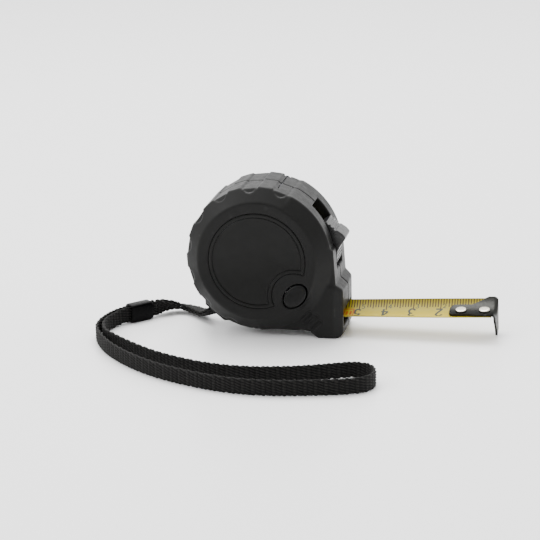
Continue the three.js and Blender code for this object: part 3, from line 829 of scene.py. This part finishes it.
def reel_polar(x, z):
    """Radius about the reel's centre, and the angle above the horizontal in degrees, from -90 to 270."""
    angle = np.degrees(np.arctan2(z - REEL_Z, x))
    return np.hypot(x, z - REEL_Z), np.where(angle < -90, angle + 360, angle)


def from_reel(radius, degrees):
    """X and Z at a radius and an angle about the reel's centre."""
    turn = math.radians(degrees)
    return radius * math.cos(turn), REEL_Z + radius * math.sin(turn)


def bevel_field(radius, depth, angle):
    """Past the bevel between the side face and the tread; the smooth front stretch is steeper."""
    dimpled = slope(radius, depth, (TREAD_R, EDGE_HALF), (LAND_R, CASE_HALF))
    plain = slope(radius, depth, (TREAD_R, FRONT_EDGE_HALF), (LAND_R - 0.5, CASE_HALF))
    front = np.clip((64 - angle) / 1.6, 0, 1)
    return -(dimpled * (1 - front) + plain * front)


def tread_field(radius, angle):
    """Past the tread: flat blocks by turns low and high, then a plain stretch down to the nose."""
    block = np.clip(np.round((angle - FIRST_DIMPLE) / BLOCK_ANGLE), 0, LAST_BLOCK)
    middle = FIRST_DIMPLE + BLOCK_ANGLE * block
    level = TREAD_R + np.where(block % 2 == 0, LOW_BLOCK, HIGH_BLOCK)
    blocks = radius * np.cos(np.radians(np.clip(angle - middle, -9, 9))) - level
    seam = np.abs(np.abs(angle - middle) - BLOCK_ANGLE / 2) * math.radians(1) * TREAD_R
    blocks = blocks + SEAM_DEPTH * np.clip(1 - seam / SEAM_HALF, 0, 1)
    first_edge = FIRST_DIMPLE - BLOCK_ANGLE / 2
    ramp = np.clip((first_edge - angle) / 2.4, 0, 1)
    plain = radius - (TREAD_R - 0.32 + 0.32 * ramp)
    return np.where(angle > first_edge, blocks, plain)


def dimple_field(radius, depth, angle, bevel, skip):
    """Half-round scoops in the bevel's outer edge, one at each low block."""
    along = np.array([LAND_R - TREAD_R, CASE_HALF - EDGE_HALF])
    along /= np.linalg.norm(along)
    down = (radius - TREAD_R) * along[0] + (depth - EDGE_HALF) * along[1]
    result = None
    for n in range(LAST_BLOCK // 2 + 1):
        at = FIRST_DIMPLE + 2 * BLOCK_ANGLE * n
        if any(abs(at - other) < 10 for other in skip):
            continue
        sideways = radius * np.radians(angle - at)
        scoop = every(np.hypot(down, sideways) - DIMPLE_R, -(bevel + 0.32))
        result = scoop if result is None else np.minimum(result, scoop)
    return result


def capsule(x, z, a, b, radius):
    ex, ez = b[0] - a[0], b[1] - a[1]
    t = np.clip(((x - a[0]) * ex + (z - a[1]) * ez) / (ex * ex + ez * ez), 0, 1)
    return np.hypot(x - a[0] - ex * t, z - a[1] - ez * t) - radius


def case_shape(x, depth, z, side):
    """The case's outside at a distance depth from the parting plane; side is -1 for the left half."""
    radius, angle = reel_polar(x, z)
    bevel = bevel_field(radius, depth, angle)
    drum = every(radius - TREAD_R - 0.2, bevel, depth - CASE_HALF)
    corner = slope(x, depth, (27.2, NOSE_HALF), (30.5, 10.4))
    front = slope(x, depth, (MOUTH_X - 0.05, 11), (MOUTH_X + 0.35, 0))
    nose = every(outline_distance(x, z, NOSE), depth - EDGE_HALF - 0.3, corner, front)
    plates = every(outline_distance(x, z, NOSE_PLATE), depth - NOSE_HALF, corner, front)
    tear = outline_distance(x, z, TEARDROP)
    land = every((tear - (CASE_HALF - depth) * 0.56) * 0.87, depth - CASE_HALF, 11 - depth)
    lug = every(outline_distance(x, z, LUG), depth - LUG_HALF)
    body = softened(np.minimum.reduce([drum, nose, plates, land, lug]), 4)
    is_tread = (angle > -18) | (x < 0)
    near_nose = np.minimum(outline_distance(x, z, NOSE), outline_distance(x, z, LUG) + 0.5)
    tread = np.where(is_tread, np.minimum(tread_field(radius, angle), near_nose + 0.15), -9)
    body = np.maximum(body, tread)
    skip = SCREW_ANGLES if side > 0 else ()
    body = cut(body, dimple_field(radius, depth, angle, bevel, skip))
    for a, b in GRIP_SLOTS:
        body = cut(body, every(capsule(x, z, a, b, GRIP_SLOT_R), NOSE_HALF - GRIP_SLOT_DEPTH - depth))
    return body


def case_rooms(x, depth, z, side):
    """Everything that is hollow in a half."""
    radius, angle = reel_polar(x, z)
    rooms = [every(radius - r, depth - half) for r, half in CHAMBER]
    rooms.append(every(5 - x, depth - MOUTH_HALF, MOUTH_LEVELS[0] - z, z - MOUTH_LEVELS[1]))
    half, low, high = LOCK_SLOT
    turn_low = (low - angle) * math.radians(1) * radius
    turn_high = (angle - high) * math.radians(1) * radius
    rooms.append(every(OPENING_R - radius, turn_low, turn_high, depth - half))
    pad_sides = ((PAD_ENDS[0] - angle) * 0.4, (angle - PAD_ENDS[1]) * 0.4)
    rooms.append(every(OPENING_R - radius, radius - PAD_SEAT_R, *pad_sides, depth - half + 0.4))
    strap_half = WEB_WIDTH / 2 + 0.8
    rooms.append(every(outline_distance(x, z, STRAP_ROOM), depth - strap_half))
    rooms.append(every(np.hypot(x - PIN[0], z - PIN[1]) - PIN_HOLE[0], depth - PIN_HOLE[1]))
    hollow = cut(np.minimum.reduce(rooms), every(radius - BOSS[0], BOSS[1] - depth))
    hollow = np.minimum(hollow, every(radius - POST_HOLE[0], depth - POST_HOLE[1]))
    pocket = every(radius - DISC_R, CASE_HALF - DISC_DEPTH - depth)
    if side < 0:
        notch = np.hypot(x - BUTTON[0], z - BUTTON[1]) - NOTCH_R
        pocket = cut(pocket, notch)
        well = every(button_distance(x, z) - BUTTON_WELL[0], BUTTON_WELL[1] - depth)
        hollow = np.minimum(hollow, well)
    for centre_x, centre_z in screw_centres():
        away = np.hypot(x - centre_x, z - centre_z)
        hole = away - SCREW_HOLE_R
        if side < 0:
            hole = every(hole, depth - SCREW_TIP_ROOM)
        else:
            head = every(away - SCREW_HEAD_R - 0.25, SCREW_SEAT - depth)
            hole = np.minimum(head, hole)
        hollow = np.minimum(hollow, hole)
    return np.minimum(hollow, pocket)


def screw_centres():
    return [from_reel(SCREW_CIRCLE, angle) for angle in SCREW_ANGLES] + [NOSE_SCREW]


def make_case_half(name, side, cad_node):
    low = np.array([-28.2, -0.75, -0.9])
    high = np.array([32.2, CASE_HALF + 0.9, REEL_Z + 28.2])
    step = np.full(3, CASE_STEP)
    x, depth, z = grid_axes(low, high, step)
    outside = case_shape(x, depth, z, side)
    body = cut(outside, case_rooms(x, depth, z, side))
    groove = every(depth - PARTING_HALF, -(outside + PARTING_DEPTH - depth))
    body = softened(np.maximum(cut(body, groove), 0.04 - depth), 1)
    points, faces = surface_net(body, low, step)
    points[:, 1] *= side
    if side > 0:
        faces = faces[:, ::-1]
    made = add_piece(name, points, faces, CASE_PLASTIC, "case", "shell", [cad_node])
    thin_out(made, 0.45)
    return made


# ---------------------------------------------------------------- side discs
def disc_contour(offset, notched, count=(150, 42)):
    """A closed run of (x, z), offset inwards from the disc's edge, with the bite round the button."""
    radius = DISC_R - 0.13 - offset
    if not notched:
        turns = np.linspace(0, 2 * math.pi, sum(count), endpoint=False)
        return np.stack([radius * np.cos(turns), REEL_Z + radius * np.sin(turns)], 1)
    bite = NOTCH_R + 0.13 + offset
    bx, bz = BUTTON[0], BUTTON[1] - REEL_Z
    gap = math.hypot(bx, bz)
    toward = math.atan2(bz, bx)
    spread = math.acos((radius**2 + gap**2 - bite**2) / (2 * radius * gap))
    spread_bite = math.acos((bite**2 + gap**2 - radius**2) / (2 * bite * gap))
    long_way = np.linspace(toward + spread, toward + 2 * math.pi - spread, count[0])
    back = toward + math.pi
    short_way = np.linspace(back + spread_bite, back - spread_bite, count[1] + 2)[1:-1]
    outer = np.stack([radius * np.cos(long_way), radius * np.sin(long_way)], 1)
    inner = np.stack([bx + bite * np.cos(short_way), bz + bite * np.sin(short_way)], 1)
    return np.vstack([outer, inner]) + (0, REEL_Z)


def make_disc(name, side, cad_node):
    """A thin inlay: a raised rim, a groove, and a slightly crowned middle."""
    notched = side < 0
    rim = [(0, CASE_HALF - 0.8), (0, CASE_HALF - 0.16), (0.05, CASE_HALF - 0.06), (0.16, CASE_HALF)]
    groove = [
        (1.1, CASE_HALF), (1.2, CASE_HALF - 0.06), (1.25, CASE_HALF - 0.4), (1.42, CASE_HALF - 0.4),
        (1.47, CASE_HALF - 0.1), (1.6, CASE_HALF - 0.02),
    ]
    loops = []
    for offset, level in rim + groove:
        loops.append(at_depth(*disc_contour(offset, notched).T, side * level))
    edge = disc_contour(1.6, notched)
    middle = np.array([-2.5, REEL_Z + 2.5]) if notched else np.array([0, REEL_Z])
    for share in (0.985, 0.95, 0.88, 0.78, 0.66, 0.54, 0.42, 0.3):
        ring = middle + (edge - middle) * share
        level = CASE_HALF + 0.14 - 0.18 * share**2
        loops.append(at_depth(*ring.T, side * level))
    return add_loft(name, loops, DISC_PLASTIC, "case", "disc", [cad_node], sharp=35)


# ---------------------------------------------------------------- stop button
def make_button():
    """An oval cap with a soft shoulder, on the peg that pushes the leaf spring."""
    face = CASE_HALF + 0.4
    profile = [
        (2.4, 11.2), (2.4, 12.9), (0, 12.9), (0, face - 0.75), (0.06, face - 0.45), (0.24, face - 0.22),
        (0.6, face - 0.1), (1.3, face - 0.04), (2.3, face - 0.01), (3.2, face),
    ]
    turns = np.linspace(0, 2 * math.pi, 96, endpoint=False)
    c, s = math.cos(BUTTON_LEAN), math.sin(BUTTON_LEAN)
    loops = []
    for inset, level in profile:
        along = (BUTTON_AXES[0] - inset) * np.cos(turns)
        across = (BUTTON_AXES[1] - inset) * np.sin(turns)
        x = BUTTON[0] + along * c - across * s
        z = BUTTON[1] + along * s + across * c
        loops.append(at_depth(x, z, -level))
    return add_loft(
        "stop_button_cap", loops, CONTROL_PLASTIC, "stop_button", "control", ["stop_button"], sharp=50
    )


# ---------------------------------------------------------------- thumb lock
def make_lock():
    """The ribbed thumb piece: two grip ribs, a pushing shelf and a knurled foot."""
    low = np.array([21.5, -5.9, REEL_Z - 4.2])
    high = np.array([32.8, 5.9, REEL_Z + 14.5])
    step = np.full(3, 0.15)
    x, y, z = grid_axes(low, high, step)
    outline = [from_reel(r, a) for r, a in LOCK_PROFILE]
    outline += [from_reel(LOCK_INNER_R, a) for a in np.linspace(*LOCK_ENDS, 8)]
    thumb = every(outline_distance(x, z, outline), np.abs(y) - LOCK_HALF)
    thumb = softened(thumb, 3)
    for groove_r, at in THUMB_GROOVES:
        spot_x, spot_z = from_reel(groove_r, at)
        thumb = cut(thumb, np.hypot(x - spot_x, z - spot_z) - GROOVE_R)
    for row, at in enumerate(KNURL_ROWS):
        spot_x, spot_z = from_reel(KNURL_CIRCLE, at)
        for column in range(-3, 4):
            spot_y = KNURL_SPACING * (column + 0.5 * (row % 2))
            away = np.sqrt((x - spot_x) ** 2 + (z - spot_z) ** 2 + (y - spot_y) ** 2)
            thumb = cut(thumb, away - GROOVE_R)
    thumb = softened(thumb, 1)
    points, faces = surface_net(thumb, low, step)
    made = add_piece("lock_thumb", points, faces, THUMB_PLASTIC, "lock", "control", ["lock_slider"])
    thin_out(made, 0.5)
    return made


# ---------------------------------------------------------------- blade and its print
def arc_radius(sag):
    """Radius of an arc as long as the blade is wide, that rises by sag."""
    low, high = 0.01, 1.5
    for _ in range(40):
        middle = (low + high) / 2
        if BLADE_WIDTH / 2 / middle * (1 - math.cos(middle)) < sag:
            low = middle
        else:
            high = middle
    return BLADE_WIDTH / 2 / low


def along_blade(u):
    """0 in the mouth and inside the case, 1 under the hook."""
    share = np.clip(np.asarray(u, float) / (BLADE_OUT - 17), 0, 1)
    return share * share * (3 - 2 * share)


def blade_radius(u):
    sags = (BLADE_SAG + SAG_CHANGE, BLADE_SAG, BLADE_SAG - SAG_CHANGE)
    return float(np.interp(along_blade(u), (0, 0.5, 1), [arc_radius(sag) for sag in sags]))


def blade_to_body(points):
    """From along, across and above the blade's belly to the body's X, Y and Z."""
    u, v, w = np.asarray(points, float).reshape(-1, 3).T
    roll = BLADE_ROLL + ROLL_CHANGE * (2 * along_blade(u) - 1)
    y = v * np.cos(roll) - w * np.sin(roll)
    rise = v * np.sin(roll) + w * np.cos(roll)
    x = MOUTH_X + u * math.cos(BLADE_TILT) - rise * math.sin(BLADE_TILT)
    z = BLADE_Z + u * math.sin(BLADE_TILT) + rise * math.cos(BLADE_TILT)
    return np.stack([x, y, z], 1)


def on_blade(u, s, above):
    """A point at u along and s round the blade's curve, above its upper face."""
    belly = blade_radius(u)
    radius = belly - BLADE_T - above
    return (u, radius * math.sin(s / belly), belly - radius * math.cos(s / belly))


def blade_part(name, points, faces, material, body, slot, replaces=(), sharp=40):
    placed = blade_to_body(points)
    return add_piece(name, placed, outward(placed, faces), material, body, slot, replaces, sharp)


def follow_winding(made):
    """Gives the piece its own copy of its mesh; nothing here makes it shorten as the blade winds in."""
    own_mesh(made)


def make_blade():
    rows, columns = 90, 26
    loops, across = [], []
    for u in np.linspace(*BLADE_ENDS, rows):
        spread = np.linspace(-BLADE_WIDTH / 2, BLADE_WIDTH / 2, columns)
        top = [on_blade(u, s, 0) for s in spread]
        bottom = [on_blade(u, s, -BLADE_T) for s in spread[::-1]]
        loops.append(top + bottom)
        across += list(spread) + list(spread[::-1])
    points, faces = loft(loops)
    made = blade_part("blade_strip", points, faces, BLADE_PAINT, "blade_end", "blade_paint", ["blade"])
    set_values(made, "across", across)
    follow_winding(made)


INK_T = 0.012
INK_UNDER = -0.04
TICK_LENGTHS = {0: 5.5, 5: 4.5, 8: 2.4, 9: 2.4}  # by the last digit of the millimetres
PLAIN_TICK = 3.9
TICK_WIDTH = 0.42
DIGIT_HEIGHT = 1.42  # as drawn below, in a width of 1
STROKE_WIDTH = 0.2


def ribbon(path, width):
    """A thin strip of ink along a path of (u, s) on the blade, as loops for loft."""
    path = np.array(path, float)
    direction = np.gradient(path, axis=0)
    direction /= np.linalg.norm(direction, axis=1)[:, None]
    normal = np.stack([-direction[:, 1], direction[:, 0]], 1) * width / 2
    loops = []
    for spot, away in zip(path, normal):
        left, right = spot + away, spot - away
        loops.append([
            on_blade(*left, INK_T), on_blade(*right, INK_T),
            on_blade(*right, INK_UNDER), on_blade(*left, INK_UNDER),
        ])
    return loops


def add_print(name, ribbons, material):
    """One piece of ink from many ribbons."""
    strips = [loft(loops) for loops in ribbons]
    points, faces = joined([(points, outward(points, faces)) for points, faces in strips])
    made = add_piece(name, blade_to_body(points), faces, material, "blade_end", "blade_paint", sharp=40)
    follow_winding(made)


DIGITS = {
    "2": [[(0.1, 1.02), (0.16, 1.26), (0.42, 1.42), (0.72, 1.3), (0.82, 1.02), (0.7, 0.74), (0.12, 0.06)],
          [(0.08, 0.07), (0.9, 0.07)]],
    "3": [[(0.12, 1.2), (0.26, 1.37), (0.48, 1.42), (0.74, 1.28), (0.76, 0.98), (0.6, 0.8), (0.36, 0.76)],
          [(0.4, 0.76), (0.7, 0.68), (0.84, 0.4), (0.72, 0.12), (0.46, 0.02), (0.2, 0.08), (0.08, 0.26)]],
    "4": [[(0.64, 0), (0.64, 1.42)], [(0.64, 1.4), (0.06, 0.46)], [(0.04, 0.44), (0.94, 0.44)]],
    "5": [[(0.82, 1.36), (0.26, 1.36)], [(0.28, 1.38), (0.18, 0.78)],
          [(0.18, 0.8), (0.42, 0.92), (0.7, 0.84), (0.84, 0.5), (0.74, 0.16), (0.46, 0.02), (0.1, 0.2)]],
}


def smooth_path(points, parts=6):
    """A denser path through a stroke's points, curved where the stroke has more than three."""
    points = np.array(points, float)
    if len(points) < 4:
        return np.vstack([
            np.linspace(a, b, parts, endpoint=False) for a, b in zip(points, points[1:])
        ] + [points[-1:]])
    _, curve = route_curve([(x, y, 0, 0) for x, y in points], 0.07)
    return curve[:, :2]


def digit_ribbons(digit, centre_u, centre_s, height, turned_round=False, narrow=1.0):
    """The strokes of a digit, its middle at (u, s) on the blade."""
    size = height / DIGIT_HEIGHT
    flip = -1 if turned_round else 1
    made = []
    for stroke in DIGITS[digit]:
        path = (smooth_path(stroke) - (0.5, DIGIT_HEIGHT / 2)) * (size * flip * narrow, size * flip)
        made.append(ribbon(path + (centre_u, centre_s), STROKE_WIDTH * size))
    return made


def make_print():
    edge = BLADE_WIDTH / 2
    zero = BLADE_OUT
    ticks = []
    for mark in range(3, 61):
        length = TICK_LENGTHS.get(mark % 10, PLAIN_TICK)
        u = zero - mark
        ticks.append(ribbon([(u, edge - 0.1 - length * i / 5) for i in range(6)], TICK_WIDTH))
    add_print("scale_ticks", ticks, TICK_INK)
    numbers = []
    for mark in range(2, 6):
        u = zero - 10 * mark
        numbers += digit_ribbons(str(mark), u - 0.45, 0.2, 5.6, True, 0.72)
        numbers += digit_ribbons(str(mark), u + 1.4, 4.4, 2.1)
    add_print("scale_numbers", numbers, NUMBER_INK)
    left, right, low, high = -1.4, 2.0, -2.7, 3.0
    corners = [(left, low), (right, low), (right, high), (left, high)]
    box = [ribbon(np.linspace(a, b, 10), 0.45) for a, b in zip(corners, corners[1:] + corners[:1])]
    box += [ribbon(np.linspace((u, low + 1.2), (u, high - 1.2), 6), 0.8) for u in (-0.4, 1.0)]
    add_print("section_mark", box, ORANGE_INK)


# ---------------------------------------------------------------- hook and rivets
def make_hook():
    """Sheet steel: a tongue along the blade, flared at its end and bent down into a narrow leg."""
    middle = HOOK_T / 2
    end = BLADE_OUT + middle
    bend = 1.25
    belly = blade_radius(BLADE_OUT)
    plate_radius = belly - BLADE_T - 0.2 - middle
    leg = [
        (0, -7.6), (2.5, -7.6), (3, -7.3), (3.4, -6.5), (3.8, -4.6), (4.4, -3.2), (5.6, -1.5), (6.7, 0),
        (7.25, 1.2),
    ]
    tongue = [
        (0, -17.35), (2.2, -17.2), (3.3, -16.6), (3.75, -15.9), (3.92, -15.2), (3.93, -9.4), (4.3, -8.5),
        (5.1, -7.1), (6.2, -5.2), (6.9, -4.2), (7.25, -3.3),
    ]
    columns = [-7.25, -7.1, -6.8, -6.2, -5.4, -4.6, -4.05, -3.93, -3.85, -3.6, -3.2, -2.6, -1.9, -1.2, -0.6]
    columns = columns + [0] + [-v for v in reversed(columns)]
    path_steps = 44
    grid = []
    for v in columns:
        top = belly - math.sqrt(plate_radius**2 - v * v)
        start = np.interp(abs(v), *zip(*tongue)) + BLADE_OUT + HOOK_T
        stop = np.interp(abs(v), *zip(*leg))
        flat = max(end - bend - start, 0.05)
        quarter = bend * math.pi / 2
        down = max(top - bend - stop, 0.02)
        knots = np.concatenate([
            np.linspace(0, flat, 22, endpoint=False),
            flat + np.linspace(0, quarter, 8, endpoint=False),
            flat + quarter + np.linspace(0, down, path_steps - 30),
        ])
        column = []
        for run in knots:
            if run <= flat:
                column.append((start + run, v, top))
            elif run <= flat + quarter:
                turn = (run - flat) / bend
                column.append((start + flat + bend * math.sin(turn), v, top - bend * (1 - math.cos(turn))))
            else:
                column.append((start + flat + bend, v, top - bend - (run - flat - quarter)))
        grid.append(column)
    points = np.array(grid).reshape(-1, 3)
    faces = [
        (j * path_steps + i, (j + 1) * path_steps + i, (j + 1) * path_steps + i + 1, j * path_steps + i + 1)
        for j in range(len(columns) - 1) for i in range(path_steps - 1)
    ]
    made = add_piece("hook_plate", blade_to_body(points), faces, HOOK_STEEL, "hook", "hook_steel", ["hook"])
    solid = made.modifiers.new("sheet", "SOLIDIFY")
    solid.thickness = HOOK_T * MM * 0.92
    solid.offset = 0
    solid.use_even_offset = True
    soft = made.modifiers.new("soft", "BEVEL")
    soft.width = 0.14 * MM
    soft.segments = 2
    soft.limit_method = "ANGLE"
    soft.angle_limit = math.radians(50)
    apply_modifiers(made)
    made.data.shade_smooth()


def make_rivets():
    """Round heads, flat and bright on top, with a small burred foot under the blade."""
    profile = [
        (0.05, -0.65), (1.25, -0.62), (1.48, -0.42), (1.45, -0.27), (0.9, -0.25), (0.9, 1.3),
        (1.9, 1.34), (1.97, 1.45), (1.97, 1.7), (1.9, 1.86), (1.74, 1.94), (1.3, 1.97), (0.8, 1.99),
        (0.05, 2.0),
    ]
    for name, at in zip(("inner", "outer"), RIVETS):
        points, faces = loft(turned(profile, 56))
        blade_part(
            f"rivet_{name}", points + (at, 0, 0), faces, RIVET_STEEL, "blade_end", "bright_steel",
            [f"hook_rivet_{name}"], 50,
        )


# ---------------------------------------------------------------- screws
def make_screws():
    """Pan-head screws with a cross recess, sunk in the right half."""
    low, high, step = np.array([-1.6, -7.4, -1.6]), np.array([1.6, 12.6, 1.6]), np.full(3, 0.1)
    x, y, z = grid_axes(low, high, step)
    away = np.hypot(x, z)
    thread = 0.09 * np.cos(2 * math.pi * (y / 0.7 - np.arctan2(z, x) / (2 * math.pi)))
    tip = np.clip((-5.6 - y) * 0.45, 0, 1)
    shank = every(away - 0.76 - np.where(y < 9.5, thread, 0) + tip, -7 - y, y - 11)
    head = every(away - SCREW_HEAD_R, 10.85 - y, np.sqrt(away**2 + (y - 9.35) ** 2) - 2.62)
    slot_half, slot_length = 0.17, 0.78
    slots = [every(np.abs(a) - slot_half, np.abs(b) - slot_length) for a, b in ((x, z), (z, x))]
    cross = np.minimum(*slots)
    screw = cut(np.minimum(shank, head), every(cross, 11.25 - y))
    points, faces = surface_net(softened(screw, 1), low, step)
    for number, (centre_x, centre_z) in enumerate(screw_centres(), 1):
        made = add_piece(
            f"screw_{number}", points + (centre_x, 0, centre_z), faces, SCREW_STEEL, "case", "screw_steel",
            [f"case_screw_{number}"],
        )
        thin_out(made, 0.5)


# ---------------------------------------------------------------- CAD nodes that show as they are
def dress_cad_nodes():
    finishes = {
        REEL_PLASTIC: ["reel_drum", "reel_cover"],
        COIL_PAINT: ["blade_coil"],
        SPRING_STEEL: ["return_spring", "lock_arm", "stop_leaf"],
        RIVET_STEEL: ["reel_post", "washer_left", "washer_right", "strap_pin"],
        PAD_RUBBER: ["brake_pad"],
    }
    for material, nodes in finishes.items():
        for node in nodes:
            mesh = frame["nodes"][node].data
            mesh.materials.clear()
            mesh.materials.append(material)


# ---------------------------------------------------------------- studio
def add_light(name, place, aim, size, power):
    data = bpy.data.lights.new(name, "AREA")
    data.shape = "RECTANGLE"
    data.size, data.size_y = size
    data.energy = power
    light = new_object(name, data)
    light.location = place
    light.rotation_mode = "QUATERNION"
    light.rotation_quaternion = (Vector(aim) - Vector(place)).to_track_quat("-Z", "Y")


def make_studio():
    size = 6.0
    mesh = bpy.data.meshes.new("floor")
    corners = [(-size, -size, 0), (size, -size, 0), (size, size, 0), (-size, size, 0)]
    mesh.from_pydata(corners, [], [(0, 1, 2, 3)])
    mesh.materials.append(FLOOR)
    floor = new_object("floor", mesh)
    world = bpy.data.worlds.new("studio")
    bpy.context.scene.world = world
    world.use_nodes = True
    nodes, links = world.node_tree.nodes, world.node_tree.links
    facing = nodes.new("ShaderNodeVectorMath")
    facing.operation = "DOT_PRODUCT"
    facing.inputs[1].default_value = (-0.1, 0.8, 0.6)
    links.new(nodes.new("ShaderNodeTexCoord").outputs["Generated"], facing.inputs[0])
    brightness = nodes.new("ShaderNodeMapRange")
    brightness.interpolation_type = "SMOOTHSTEP"
    set_range(brightness, -0.75, 0.75, 0.45, 2.3)
    links.new(facing.outputs["Value"], brightness.inputs["Value"])
    background = nodes["Background"]
    background.inputs["Color"].default_value = (1, 1, 1, 1)
    links.new(brightness.outputs["Result"], background.inputs["Strength"])
    middle = (-0.02, -0.01, 0.02)
    add_light("overhead", (-0.15, 0.35, 0.9), middle, (0.8, 0.6), 15)
    add_light("left_front", (-0.8, -0.5, 0.6), middle, (0.5, 0.5), 4)


make_case_half("case_left_shell", -1, "case_left")
make_case_half("case_right_shell", 1, "case_right")
make_disc("left_inlay", -1, "left_disc")
make_disc("right_inlay", 1, "right_disc")
make_button()
make_lock()
make_blade()
make_print()
make_hook()
make_rivets()
make_screws()
dress_cad_nodes()
make_studio()
